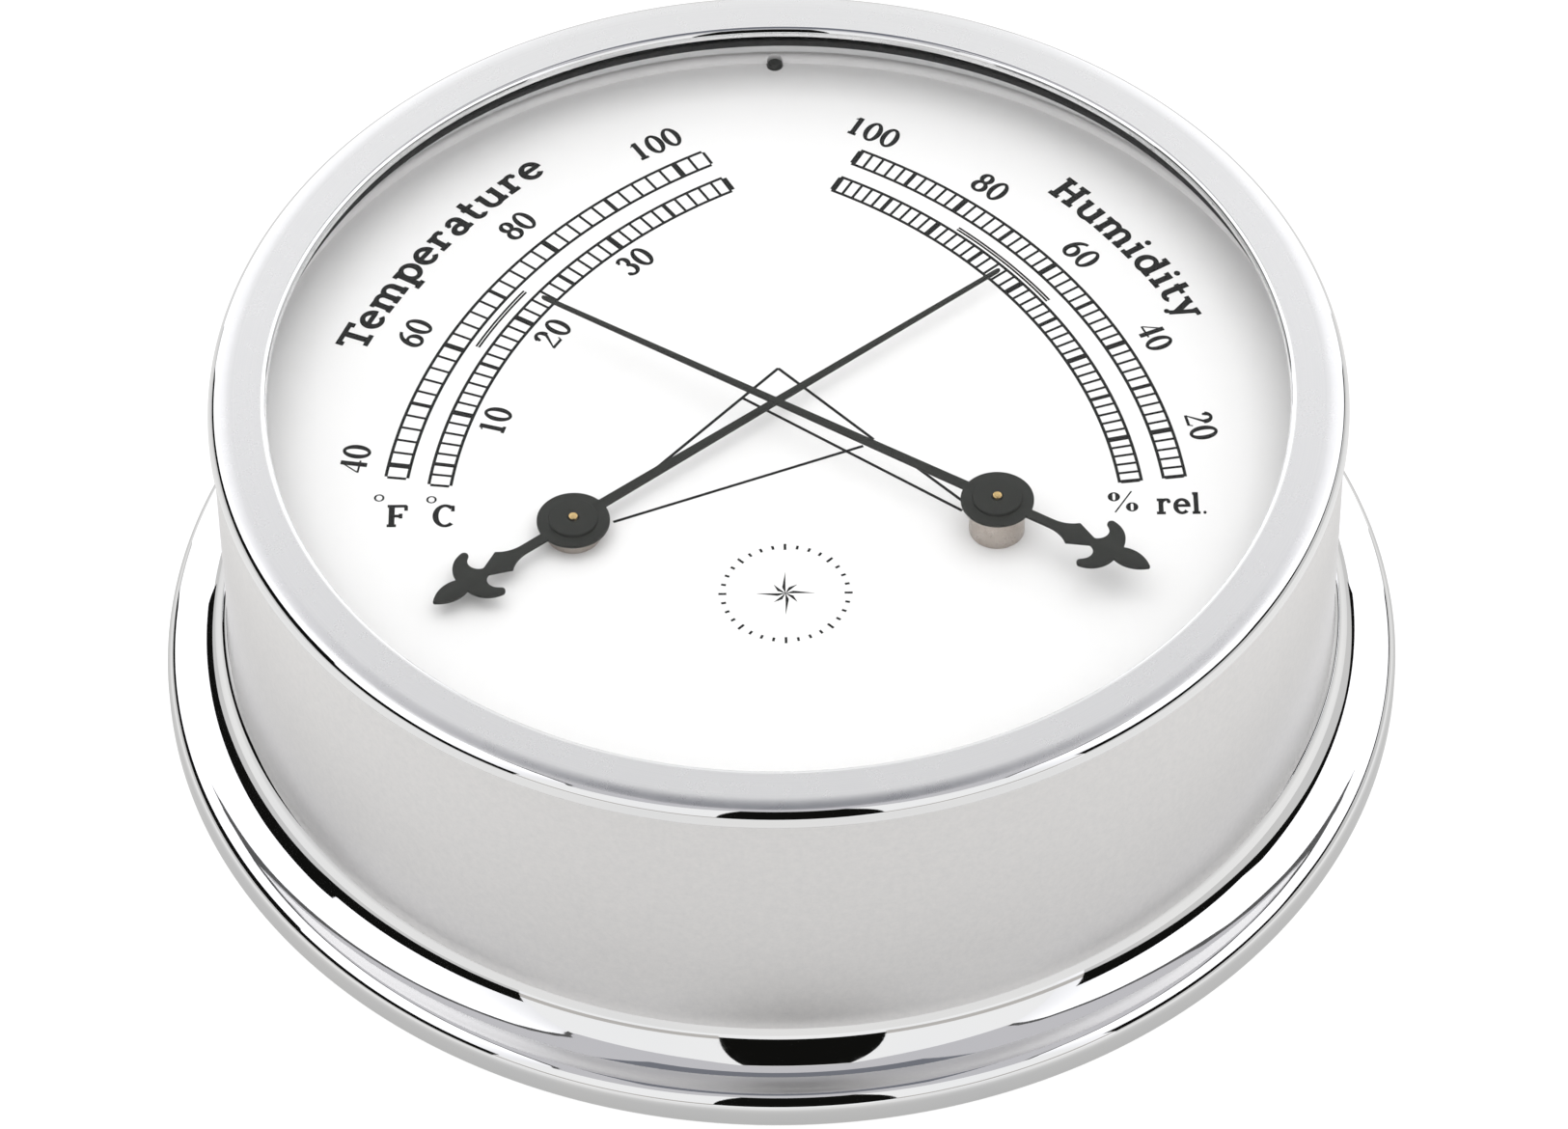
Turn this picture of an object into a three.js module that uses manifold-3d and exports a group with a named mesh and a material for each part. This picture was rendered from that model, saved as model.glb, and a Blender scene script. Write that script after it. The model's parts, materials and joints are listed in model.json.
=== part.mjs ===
// Dial hygrometer with a thermometer: a round chromed case that lies on its back or hangs on a wall.
// Millimetres, +Z up out of the dial, +Y towards 12 o'clock, origin at the centre of the back face.
import * as THREE from 'three';
import { mergeVertices } from 'three/addons/utils/BufferGeometryUtils.js';
import Module from 'manifold-3d';

const wasm = await Module();
wasm.setup();

// ---- Driving dimensions: case -------------------------------------------------------------
const CASE_HEIGHT = 37.2;
const BASE_RADIUS = 60;
const FLANGE_THICKNESS = 3.4;
const FLANGE_EDGE_ROUND = 1.6;
const FOOT_FILLET = 4.7;
const WALL_RADIUS = 53.7;
const WALL_THICKNESS = 1.0;
const LOWER_WALL_THICKNESS = 1.7;
const LEDGE_INNER_RADIUS = 50.0;
const LEDGE_THICKNESS = 1.5;
const BACK_LEDGE_INNER_RADIUS = 48.2;
const BACK_LEDGE_THICKNESS = 2.0;
const BACK_RECESS_RADIUS = 51.6;
const BACK_RECESS_DEPTH = 3.0;

// ---- Driving dimensions: bezel and glass --------------------------------------------------
const BEZEL_RADIUS = 54.0;
const BEZEL_LIP_RADIUS = 48.4;
const BEZEL_LIP_THICKNESS = 0.6;
const BEZEL_EDGE_ROUND = 1.7;
const BEZEL_RIM_HEIGHT = 1.8;
const BEZEL_SKIRT_OUTER = 52.3;
const BEZEL_SKIRT_INNER = 51.3;
const BEZEL_SKIRT_BOTTOM = 31.5;
const GLASS_RADIUS = 51.0;
const GLASS_THICKNESS = 1.2;
const GASKET_INNER_RADIUS = 49.2;
const GASKET_THICKNESS = 1.0;
const SNAP_RING_INNER_RADIUS = 50.2;
const SNAP_RING_THICKNESS = 0.6;
const SNAP_RING_OPENING = 6.0;
const JOINT_GAP = 0.3;
const THROUGH = 1.0;

// ---- Driving dimensions: dial -------------------------------------------------------------
const DIAL_TOP = 30.0;
const DIAL_THICKNESS = 0.8;
const DIAL_RADIUS = 52.3;
const CLAMP_RING_INNER_RADIUS = 51.2;
const CLAMP_RING_HEIGHT = 0.8;
const LOCATING_PIN_RADIUS = 0.7;
const LOCATING_PIN_OFFSET = 50.9;
const LOCATING_PIN_PROUD = 0.9;

// ---- Driving dimensions: the two movements ------------------------------------------------
const TEMPERATURE_PIVOT_X = 20.4;
const HUMIDITY_PIVOT_X = -19.4;
const PIVOT_Y = -12.5;
const HUMIDITY_HAND_ANGLE = 38.5;
const TEMPERATURE_HAND_ANGLE = 147.5;
const HUMIDITY_HAND_TOP = 2.0;
const TEMPERATURE_HAND_TOP = 4.2;
const HAND_THICKNESS = 0.35;
const HUMIDITY_HAND_LENGTH = 52.3;
const TEMPERATURE_HAND_LENGTH = 51.0;
const HAND_TAIL = 16.5;
const HAND_TIP_HALF_WIDTH = 0.12;
const HAND_NECK_HALF_WIDTH = 0.5;
const HUB_DISC_RADIUS = 3.45;
const HUB_BOSS_RADIUS = 2.35;
const HUB_BOSS_THICKNESS = 0.35;
const ARBOR_RADIUS = 0.45;
const ARBOR_PROUD = 0.2;
const ARBOR_BOTTOM = 15.6;
const ARBOR_POINT_LENGTH = 0.4;
const ARBOR_TIP_BEVEL = 0.15;
const RUNNING_BORE = 0.7;
const PRESSED_BORE = 0.6;
const BUSH_RADIUS = 2.62;
const BUSH_SHANK_RADIUS = 1.6;
const BUSH_HOLE_RADIUS = 1.9;
const BUSH_BOTTOM = 26.0;
const NUT_ACROSS_FLATS = 5.5;
const NUT_THICKNESS = 1.8;
const BRACKET_WIDTH = 7.0;
const BRACKET_BACK = -12.4;
const BRACKET_SHEET = 1.0;
const BRACKET_FRONT_REACH = 4.5;
const BRACKET_REAR_REACH = 13.4;
const REAR_ARM_BOTTOM = 15.8;
const REAR_ARM_THICKNESS = 1.2;
const REAR_BUSH_SHOULDER = 1.7;
const REAR_BUSH_SHANK = 1.1;
const REAR_BUSH_CLEARANCE = 0.15;
const REAR_BUSH_FLOOR = 0.6;
const LEVER_THICKNESS = 0.8;
const LEVER_RING_RADIUS = 3.4;
const LEVER_BORE = 2.0;
const LEVER_ARM_WIDTH = 3.6;
const LEVER_REACH = 12.6;
const LEVER_SLOT_HALF_LENGTH = 1.2;
const POST_ARM_WIDTH = 2.5;
const POST_ARM_MARGIN = 0.5;
const COIL_POST_OFFSET = 9.3;
const COIL_POST_RADIUS = 0.7;
const COIL_POST_ANGLE = 130;
const COIL_BOTTOM = 20.7;
const COIL_WIDTH = 3.6;
const COIL_STRIP = 0.3;
const COIL_INNER_RADIUS = 2.1;
const COIL_OUTER_RADIUS = 8.3;
const COIL_TURNS = 5;
const COLLET_RADIUS = 1.6;
const COLLET_HEIGHT = 4.0;
const ADJUSTER_OFFSET = 10.0;
const ADJUSTER_SHANK_RADIUS = 1.3;
const ADJUSTER_HEAD_RADIUS = 2.2;
const ADJUSTER_HEAD_THICKNESS = 1.2;
const ECCENTRIC_OFFSET = 0.5;
const ECCENTRIC_RADIUS = 0.55;
const ADJUSTER_SLOT_WIDTH = 0.7;
const ADJUSTER_SLOT_DEPTH = 0.6;

// ---- Driving dimensions: back -------------------------------------------------------------
const BACK_PLATE_RADIUS = 51.2;
const BACK_PLATE_THICKNESS = 1.2;
const BACK_SCREW_COUNT = 4;
const BACK_SCREW_CIRCLE = 49.8;
const BACK_SCREW_HEAD_RADIUS = 1.4;
const BACK_SCREW_SHANK_RADIUS = 0.6;
const BACK_SCREW_HOLE_RADIUS = 0.9;
const BACK_SCREW_HEAD_HEIGHT = 0.9;
const BACK_SCREW_CHAMFER = 0.6;
const BACK_SCREW_SLOT_WIDTH = 0.4;
const BACK_SCREW_SLOT_DEPTH = 0.4;
const ACCESS_HOLE_RADIUS = 2.25;
const KEYHOLE_Y = 33;
const KEYHOLE_ENTRY_RADIUS = 5.0;
const KEYHOLE_SLOT_WIDTH = 5.0;
const KEYHOLE_SLOT_LENGTH = 9.0;
const VENT_Y = -24;
const VENT_RING_RADIUS = 8.0;
const VENT_COUNT = 8;
const VENT_RADIUS = 1.6;
const GAUZE_RADIUS = 12.5;
const GAUZE_THICKNESS = 0.5;

// ---- Smoothness of the faceted rounds -----------------------------------------------------
const RING_SEGMENTS = 60;
const SMALL_SEGMENTS = 16;
const TINY_SEGMENTS = 10;
const ROUND_STEPS = 4;

// ---- Levels worked out from the dimensions above ------------------------------------------
const lipBottom = CASE_HEIGHT - BEZEL_LIP_THICKNESS;
const glassTop = lipBottom - JOINT_GAP;
const glassBottom = glassTop - GLASS_THICKNESS;
const gasketBottom = glassBottom - GASKET_THICKNESS;
const wallTop = CASE_HEIGHT - BEZEL_RIM_HEIGHT - JOINT_GAP;
const dialBottom = DIAL_TOP - DIAL_THICKNESS;
const ledgeBottom = dialBottom - LEDGE_THICKNESS;
const bracketFrontBottom = dialBottom - BRACKET_SHEET;
const rearArmTop = REAR_ARM_BOTTOM + REAR_ARM_THICKNESS;
const leverBottom = rearArmTop + JOINT_GAP;
const leverTop = leverBottom + LEVER_THICKNESS;
const backPlateTop = BACK_RECESS_DEPTH;
const backPlateBottom = backPlateTop - BACK_PLATE_THICKNESS;

// ---- Finishes -----------------------------------------------------------------------------
const finishes = {
  chrome: { color: 0xd8dade, roughness: 0.06, metalness: 1.0 },
  glass: { color: 0xffffff, roughness: 0.02, metalness: 0.0, transparent: true, opacity: 0.15 },
  rubber: { color: 0x151515, roughness: 0.8, metalness: 0.0 },
  dial: { color: 0xf6f6f4, roughness: 0.5, metalness: 0.0 },
  blackSteel: { color: 0x2e2e2c, roughness: 0.45, metalness: 0.3 },
  nickel: { color: 0xb9b2a8, roughness: 0.35, metalness: 1.0 },
  brass: { color: 0xd0a860, roughness: 0.3, metalness: 1.0 },
  steel: { color: 0xa8aaad, roughness: 0.35, metalness: 1.0 },
  bimetal: { color: 0xa9794f, roughness: 0.35, metalness: 1.0 },
  foil: { color: 0xc9c2b4, roughness: 0.6, metalness: 0.2 },
  gauze: { color: 0x8c8c88, roughness: 0.95, metalness: 0.0 },
};

const instrument = new THREE.Group();

function place(parent, name, geometry, finish) {
  const mesh = new THREE.Mesh(geometry, new THREE.MeshStandardMaterial(finishes[finish]));
  mesh.name = name;
  parent.add(mesh);
  return mesh;
}

// ---- Solid helpers ------------------------------------------------------------------------
function signedVolume(geometry) {
  const position = geometry.getAttribute('position');
  const index = geometry.getIndex();
  const corner = [new THREE.Vector3(), new THREE.Vector3(), new THREE.Vector3()];
  let volume = 0;
  for (let face = 0; face < index.count; face += 3) {
    corner.forEach((point, k) => point.fromBufferAttribute(position, index.getX(face + k)));
    volume += corner[0].dot(corner[1].clone().cross(corner[2])) / 6;
  }
  return volume;
}

// Keeps only shared positions, and turns the faces outwards.
function closed(geometry) {
  const bare = geometry.clone();
  bare.deleteAttribute('normal');
  bare.deleteAttribute('uv');
  const merged = mergeVertices(bare, 1e-4);
  if (signedVolume(merged) < 0) {
    const index = merged.getIndex();
    for (let face = 0; face < index.count; face += 3) {
      const second = index.getX(face + 1);
      index.setX(face + 1, index.getX(face + 2));
      index.setX(face + 2, second);
    }
  }
  return merged;
}

function toSolid(geometry) {
  const merged = closed(geometry);
  const mesh = new wasm.Mesh({
    numProp: 3,
    vertProperties: Float32Array.from(merged.getAttribute('position').array),
    triVerts: Uint32Array.from(merged.getIndex().array),
  });
  return new wasm.Manifold(mesh);
}

function toGeometry(solid) {
  const mesh = solid.getMesh();
  const geometry = new THREE.BufferGeometry();
  geometry.setAttribute('position', new THREE.BufferAttribute(Float32Array.from(mesh.vertProperties), 3));
  geometry.setIndex(Array.from(mesh.triVerts));
  geometry.computeVertexNormals();
  return geometry;
}

function join(...geometries) {
  const solids = geometries.map(toSolid);
  return toGeometry(solids.slice(1).reduce((whole, piece) => whole.add(piece), solids[0]));
}

function cut(geometry, ...tools) {
  return toGeometry(tools.map(toSolid).reduce((whole, tool) => whole.subtract(tool), toSolid(geometry)));
}

// Turns a closed [radius, height] profile about +Z.
function revolve(profile, segments = RING_SEGMENTS) {
  const points = [...profile, profile[0]].map(([radius, height]) => new THREE.Vector2(radius, height));
  const geometry = new THREE.LatheGeometry(points, segments);
  geometry.rotateX(Math.PI / 2);
  return closed(geometry);
}

function ring(inner, outer, bottom, top, segments = RING_SEGMENTS) {
  return revolve([[inner, bottom], [outer, bottom], [outer, top], [inner, top]], segments);
}

function disc(radius, bottom, top, x = 0, y = 0, segments = SMALL_SEGMENTS) {
  const geometry = new THREE.CylinderGeometry(radius, radius, top - bottom, segments);
  geometry.rotateX(Math.PI / 2);
  geometry.translate(x, y, (top + bottom) / 2);
  return geometry;
}

function block(x0, x1, y0, y1, bottom, top) {
  const geometry = new THREE.BoxGeometry(x1 - x0, y1 - y0, top - bottom);
  geometry.translate((x0 + x1) / 2, (y0 + y1) / 2, (bottom + top) / 2);
  return geometry;
}

function extrude(outline, bottom, top) {
  const shape = new THREE.Shape(outline);
  const geometry = new THREE.ExtrudeGeometry(shape, { depth: top - bottom, bevelEnabled: false });
  geometry.translate(0, 0, bottom);
  return closed(geometry);
}

// Points of a quarter round in a profile, from one angle to another in degrees.
function round(centreRadius, centreHeight, radius, from, to, steps = ROUND_STEPS) {
  return Array.from({ length: steps + 1 }, (_, k) => {
    const angle = THREE.MathUtils.degToRad(from + ((to - from) * k) / steps);
    return [centreRadius + radius * Math.cos(angle), centreHeight + radius * Math.sin(angle)];
  });
}

function turned(geometry, degrees) {
  geometry.rotateZ(THREE.MathUtils.degToRad(degrees));
  return geometry;
}

// ---- Case ---------------------------------------------------------------------------------
function caseShell() {
  const filletCentre = WALL_RADIUS + FOOT_FILLET;
  const edgeCentre = BASE_RADIUS - FLANGE_EDGE_ROUND;
  const edgeHeight = FLANGE_THICKNESS - FLANGE_EDGE_ROUND;
  const shell = revolve([
    [BACK_RECESS_RADIUS, 0],
    [BASE_RADIUS, 0],
    ...round(edgeCentre, edgeHeight, FLANGE_EDGE_ROUND, 0, 90, 3),
    ...round(filletCentre, FLANGE_THICKNESS + FOOT_FILLET, FOOT_FILLET, 270, 180),
    [WALL_RADIUS, wallTop],
    [WALL_RADIUS - WALL_THICKNESS, wallTop],
    [WALL_RADIUS - WALL_THICKNESS, dialBottom],
    [LEDGE_INNER_RADIUS, dialBottom],
    [LEDGE_INNER_RADIUS, ledgeBottom],
    [WALL_RADIUS - LOWER_WALL_THICKNESS, ledgeBottom - LOWER_WALL_THICKNESS],
    [WALL_RADIUS - LOWER_WALL_THICKNESS, BACK_RECESS_DEPTH + BACK_LEDGE_THICKNESS],
    [BACK_LEDGE_INNER_RADIUS, BACK_RECESS_DEPTH + BACK_LEDGE_THICKNESS],
    [BACK_LEDGE_INNER_RADIUS, BACK_RECESS_DEPTH],
    [BACK_RECESS_RADIUS, BACK_RECESS_DEPTH],
  ]);
  return cut(shell, ...backScrewPlaces().map(([x, y]) => disc(
    BACK_SCREW_HOLE_RADIUS,
    BACK_RECESS_DEPTH - THROUGH,
    BACK_RECESS_DEPTH + BACK_LEDGE_THICKNESS + THROUGH,
    x,
    y,
    TINY_SEGMENTS,
  )));
}

function bezelRing() {
  const edge = BEZEL_RADIUS - BEZEL_EDGE_ROUND;
  return revolve([
    [BEZEL_LIP_RADIUS, lipBottom],
    [BEZEL_SKIRT_INNER, lipBottom],
    [BEZEL_SKIRT_INNER, BEZEL_SKIRT_BOTTOM],
    [BEZEL_SKIRT_OUTER, BEZEL_SKIRT_BOTTOM],
    [BEZEL_SKIRT_OUTER, CASE_HEIGHT - BEZEL_RIM_HEIGHT],
    [BEZEL_RADIUS, CASE_HEIGHT - BEZEL_RIM_HEIGHT],
    ...round(edge, CASE_HEIGHT - BEZEL_EDGE_ROUND, BEZEL_EDGE_ROUND, 0, 90),
    [BEZEL_LIP_RADIUS, CASE_HEIGHT],
  ]);
}

// A spring ring that holds the glass and its gasket up in the bezel; it is open at 6 o'clock.
function snapRing() {
  const top = gasketBottom;
  const half = SNAP_RING_OPENING / 2;
  const whole = ring(SNAP_RING_INNER_RADIUS, GLASS_RADIUS, top - SNAP_RING_THICKNESS, top);
  const low = top - SNAP_RING_THICKNESS - THROUGH;
  return cut(whole, block(-half, half, -GLASS_RADIUS - THROUGH, 0, low, top + THROUGH));
}

function dialPlate() {
  const pivotHoles = [HUMIDITY_PIVOT_X, TEMPERATURE_PIVOT_X].map((x) => (
    disc(BUSH_HOLE_RADIUS, dialBottom - THROUGH, DIAL_TOP + THROUGH, x, PIVOT_Y)));
  return cut(
    disc(DIAL_RADIUS, dialBottom, DIAL_TOP, 0, 0, RING_SEGMENTS),
    ...pivotHoles,
    disc(LOCATING_PIN_RADIUS + JOINT_GAP, dialBottom - THROUGH, DIAL_TOP + THROUGH, 0, LOCATING_PIN_OFFSET),
  );
}

function clampRing() {
  const top = DIAL_TOP + CLAMP_RING_HEIGHT;
  return cut(
    ring(CLAMP_RING_INNER_RADIUS, DIAL_RADIUS, DIAL_TOP, top),
    disc(LOCATING_PIN_RADIUS + JOINT_GAP, DIAL_TOP - THROUGH, top + THROUGH, 0, LOCATING_PIN_OFFSET),
  );
}

// ---- Back ---------------------------------------------------------------------------------
function backScrewPlaces() {
  return Array.from({ length: BACK_SCREW_COUNT }, (_, k) => {
    const angle = ((k + 0.5) * 2 * Math.PI) / BACK_SCREW_COUNT;
    return [BACK_SCREW_CIRCLE * Math.cos(angle), BACK_SCREW_CIRCLE * Math.sin(angle)];
  });
}

function backPlate() {
  const low = backPlateBottom - THROUGH;
  const high = backPlateTop + THROUGH;
  const slotTop = KEYHOLE_Y + KEYHOLE_SLOT_LENGTH;
  const half = KEYHOLE_SLOT_WIDTH / 2;
  const vents = Array.from({ length: VENT_COUNT }, (_, k) => {
    const angle = (k * 2 * Math.PI) / VENT_COUNT;
    const x = VENT_RING_RADIUS * Math.cos(angle);
    return disc(VENT_RADIUS, low, high, x, VENT_Y + VENT_RING_RADIUS * Math.sin(angle), TINY_SEGMENTS);
  });
  return cut(
    disc(BACK_PLATE_RADIUS, backPlateBottom, backPlateTop, 0, 0, RING_SEGMENTS),
    join(
      disc(KEYHOLE_ENTRY_RADIUS, low, high, 0, KEYHOLE_Y),
      block(-half, half, KEYHOLE_Y, slotTop, low, high),
      disc(half, low, high, 0, slotTop),
    ),
    ...vents,
    disc(VENT_RADIUS, low, high, 0, VENT_Y, TINY_SEGMENTS),
    ...[HUMIDITY_PIVOT_X, TEMPERATURE_PIVOT_X].map((x) => (
      disc(ACCESS_HOLE_RADIUS, low, high, x, PIVOT_Y + ADJUSTER_OFFSET))),
    ...backScrewPlaces().map(([x, y]) => disc(BACK_SCREW_HOLE_RADIUS, low, high, x, y, TINY_SEGMENTS)),
  );
}

function backScrew([x, y]) {
  const headBottom = backPlateBottom - BACK_SCREW_HEAD_HEIGHT;
  const screw = revolve([
    [0, headBottom],
    [BACK_SCREW_HEAD_RADIUS * BACK_SCREW_CHAMFER, headBottom],
    [BACK_SCREW_HEAD_RADIUS, headBottom + BACK_SCREW_HEAD_HEIGHT * BACK_SCREW_CHAMFER],
    [BACK_SCREW_HEAD_RADIUS, backPlateBottom],
    [BACK_SCREW_SHANK_RADIUS, backPlateBottom],
    [BACK_SCREW_SHANK_RADIUS, backPlateTop + BACK_LEDGE_THICKNESS],
    [0, backPlateTop + BACK_LEDGE_THICKNESS],
  ], SMALL_SEGMENTS);
  const reach = BACK_SCREW_HEAD_RADIUS + THROUGH;
  const half = BACK_SCREW_SLOT_WIDTH / 2;
  const slot = block(-reach, reach, -half, half, headBottom - THROUGH, headBottom + BACK_SCREW_SLOT_DEPTH);
  const slotted = cut(screw, slot);
  slotted.translate(x, y, 0);
  return slotted;
}

// ---- Hands and arbors ---------------------------------------------------------------------
// Upper half of a hand, from the tip at +X to the end of the fleur-de-lis tail at -X.
function handHalfOutline(length) {
  const meet = THREE.MathUtils.radToDeg(Math.asin(HAND_NECK_HALF_WIDTH / HUB_DISC_RADIUS));
  const half = new THREE.Path();
  half.moveTo(length, HAND_TIP_HALF_WIDTH);
  half.lineTo(length - 0.3, 0.2);
  round(0, 0, HUB_DISC_RADIUS, meet, 180 - meet, SMALL_SEGMENTS / 2).forEach(([x, y]) => half.lineTo(x, y));
  half.lineTo(-5.9, HAND_NECK_HALF_WIDTH);
  half.quadraticCurveTo(-7.3, 0.55, -8.2, 1.4);
  half.lineTo(-10.3, 0.45);
  half.bezierCurveTo(-11.0, 0.6, -11.7, 1.8, -10.4, 2.6);
  half.quadraticCurveTo(-10.2, 3.1, -10.7, 3.25);
  half.bezierCurveTo(-12.1, 3.1, -13.0, 2.1, -13.15, 0.85);
  half.bezierCurveTo(-14.3, 1.3, -15.6, 0.95, -HAND_TAIL, 0.1);
  return half.getPoints(5);
}

function handBlade(length, top) {
  const upper = handHalfOutline(length);
  const lower = upper.map((point) => new THREE.Vector2(point.x, -point.y)).reverse();
  const blade = extrude([...upper, ...lower], top - HAND_THICKNESS, top);
  return cut(blade, disc(PRESSED_BORE, top - THROUGH, top + THROUGH, 0, 0, TINY_SEGMENTS));
}

function arbor(handTop) {
  const top = handTop + HUB_BOSS_THICKNESS + ARBOR_PROUD;
  return revolve([
    [0, ARBOR_BOTTOM],
    [ARBOR_RADIUS, ARBOR_BOTTOM + ARBOR_POINT_LENGTH],
    [ARBOR_RADIUS, top - ARBOR_TIP_BEVEL],
    [ARBOR_RADIUS - ARBOR_TIP_BEVEL, top],
    [0, top],
  ], TINY_SEGMENTS);
}

// ---- Bushes, bracket and regulator --------------------------------------------------------
function dialBush(handTop) {
  const top = handTop - HAND_THICKNESS - JOINT_GAP;
  return revolve([
    [RUNNING_BORE, BUSH_BOTTOM],
    [BUSH_SHANK_RADIUS, BUSH_BOTTOM],
    [BUSH_SHANK_RADIUS, DIAL_TOP],
    [BUSH_RADIUS, DIAL_TOP],
    [BUSH_RADIUS, top],
    [RUNNING_BORE, top],
  ], SMALL_SEGMENTS);
}

function bushNut() {
  const across = NUT_ACROSS_FLATS / Math.sqrt(3);
  return cut(
    disc(across, bracketFrontBottom - NUT_THICKNESS, bracketFrontBottom, 0, 0, 6),
    disc(BUSH_HOLE_RADIUS, BUSH_BOTTOM, dialBottom, 0, 0, SMALL_SEGMENTS),
  );
}

// A strip of brass bent into a C: its front arm is clamped under the dial, its rear arm carries the
// arbor's rear bush and the adjusting screw. Local +X runs from the pivot to the adjusting screw.
function bracket() {
  const half = BRACKET_WIDTH / 2;
  const web = BRACKET_BACK + REAR_ARM_THICKNESS;
  return cut(
    join(
      block(BRACKET_BACK, BRACKET_FRONT_REACH, -half, half, bracketFrontBottom, dialBottom),
      block(BRACKET_BACK, web, -half, half, REAR_ARM_BOTTOM, dialBottom),
      block(BRACKET_BACK, BRACKET_REAR_REACH, -half, half, REAR_ARM_BOTTOM, rearArmTop),
    ),
    disc(BUSH_HOLE_RADIUS, bracketFrontBottom - THROUGH, DIAL_TOP),
    disc(REAR_BUSH_SHANK + REAR_BUSH_CLEARANCE, REAR_ARM_BOTTOM - THROUGH, rearArmTop + THROUGH),
    disc(
      ADJUSTER_SHANK_RADIUS + JOINT_GAP,
      REAR_ARM_BOTTOM - THROUGH,
      rearArmTop + THROUGH,
      ADJUSTER_OFFSET,
    ),
  );
}

function rearBush() {
  const shoulderTop = leverTop + JOINT_GAP;
  const cupFloor = ARBOR_BOTTOM - JOINT_GAP;
  const bottom = cupFloor - REAR_BUSH_FLOOR;
  return revolve([
    [0, bottom],
    [REAR_BUSH_SHANK, bottom],
    [REAR_BUSH_SHANK, rearArmTop],
    [REAR_BUSH_SHOULDER, rearArmTop],
    [REAR_BUSH_SHOULDER, shoulderTop],
    [RUNNING_BORE, shoulderTop],
    [RUNNING_BORE, cupFloor],
    [0, cupFloor],
  ], SMALL_SEGMENTS);
}

function regulatorLever() {
  const half = LEVER_ARM_WIDTH / 2;
  const slotHalf = ECCENTRIC_RADIUS + JOINT_GAP;
  const pinCentre = ADJUSTER_OFFSET + ECCENTRIC_OFFSET;
  const armHalf = POST_ARM_WIDTH / 2;
  const armReach = COIL_POST_OFFSET + COIL_POST_RADIUS + POST_ARM_MARGIN;
  const postArm = turned(block(0, armReach, -armHalf, armHalf, leverBottom, leverTop), COIL_POST_ANGLE);
  return cut(
    join(
      disc(LEVER_RING_RADIUS, leverBottom, leverTop),
      block(0, LEVER_REACH, -half, half, leverBottom, leverTop),
      postArm,
    ),
    disc(LEVER_BORE, leverBottom - THROUGH, leverTop + THROUGH),
    block(
      pinCentre - LEVER_SLOT_HALF_LENGTH,
      pinCentre + LEVER_SLOT_HALF_LENGTH,
      -slotHalf,
      slotHalf,
      leverBottom - THROUGH,
      leverTop + THROUGH,
    ),
  );
}

function adjuster() {
  const headTop = REAR_ARM_BOTTOM - JOINT_GAP;
  const headBottom = headTop - ADJUSTER_HEAD_THICKNESS;
  const body = join(
    disc(ADJUSTER_HEAD_RADIUS, headBottom, headTop),
    disc(ADJUSTER_SHANK_RADIUS, headTop - 0.5, rearArmTop),
    disc(ECCENTRIC_RADIUS, rearArmTop - 0.5, leverTop + JOINT_GAP, ECCENTRIC_OFFSET, 0, TINY_SEGMENTS),
  );
  const reach = ADJUSTER_HEAD_RADIUS + THROUGH;
  const half = ADJUSTER_SLOT_WIDTH / 2;
  const slot = block(-reach, reach, -half, half, headBottom - THROUGH, headBottom + ADJUSTER_SLOT_DEPTH);
  const slotted = cut(body, slot);
  slotted.translate(ADJUSTER_OFFSET, 0, 0);
  return slotted;
}

// A flat strip wound on edge from the collet out to the post.
function coil() {
  const steps = COIL_TURNS * 20;
  const end = THREE.MathUtils.degToRad(COIL_POST_ANGLE);
  const edge = (offset) => Array.from({ length: steps + 1 }, (_, k) => {
    const angle = end - ((steps - k) / steps) * COIL_TURNS * 2 * Math.PI;
    const radius = COIL_INNER_RADIUS + ((COIL_OUTER_RADIUS - COIL_INNER_RADIUS) * k) / steps + offset;
    return new THREE.Vector2(radius * Math.cos(angle), radius * Math.sin(angle));
  });
  const outline = [...edge(COIL_STRIP / 2), ...edge(-COIL_STRIP / 2).reverse()];
  return extrude(outline, COIL_BOTTOM, COIL_BOTTOM + COIL_WIDTH);
}

// One movement with its hand, about its own pivot.
function movement({ name, x, handAngle, handLength, handTop, coilFinish }) {
  const pivot = new THREE.Group();
  pivot.position.set(x, PIVOT_Y, 0);
  instrument.add(pivot);

  const collet = ring(PRESSED_BORE, COLLET_RADIUS, COIL_BOTTOM, COIL_BOTTOM + COLLET_HEIGHT, SMALL_SEGMENTS);
  place(pivot, `${name}_bush`, dialBush(handTop), 'nickel');
  place(pivot, `${name}_bush_nut`, bushNut(), 'brass');
  place(pivot, `${name}_arbor`, arbor(handTop), 'brass');
  place(pivot, `${name}_coil_collet`, collet, 'brass');

  const hand = new THREE.Group();
  hand.rotation.z = THREE.MathUtils.degToRad(handAngle);
  pivot.add(hand);
  const hub = ring(PRESSED_BORE, HUB_BOSS_RADIUS, handTop, handTop + HUB_BOSS_THICKNESS, SMALL_SEGMENTS);
  place(hand, `${name}_hand`, handBlade(handLength, handTop), 'blackSteel');
  place(hand, `${name}_hub`, hub, 'blackSteel');

  const regulator = new THREE.Group();
  regulator.rotation.z = Math.PI / 2;
  pivot.add(regulator);
  const post = disc(COIL_POST_RADIUS, leverTop, COIL_BOTTOM + COIL_WIDTH, COIL_POST_OFFSET, 0, TINY_SEGMENTS);
  place(regulator, `${name}_bracket`, bracket(), 'brass');
  place(regulator, `${name}_rear_bush`, rearBush(), 'nickel');
  place(regulator, `${name}_regulator`, regulatorLever(), 'steel');
  place(regulator, `${name}_coil_post`, turned(post, COIL_POST_ANGLE), 'brass');
  place(regulator, `${name}_coil`, coil(), coilFinish);
  place(regulator, `${name}_adjuster`, adjuster(), 'brass');
}

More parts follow.
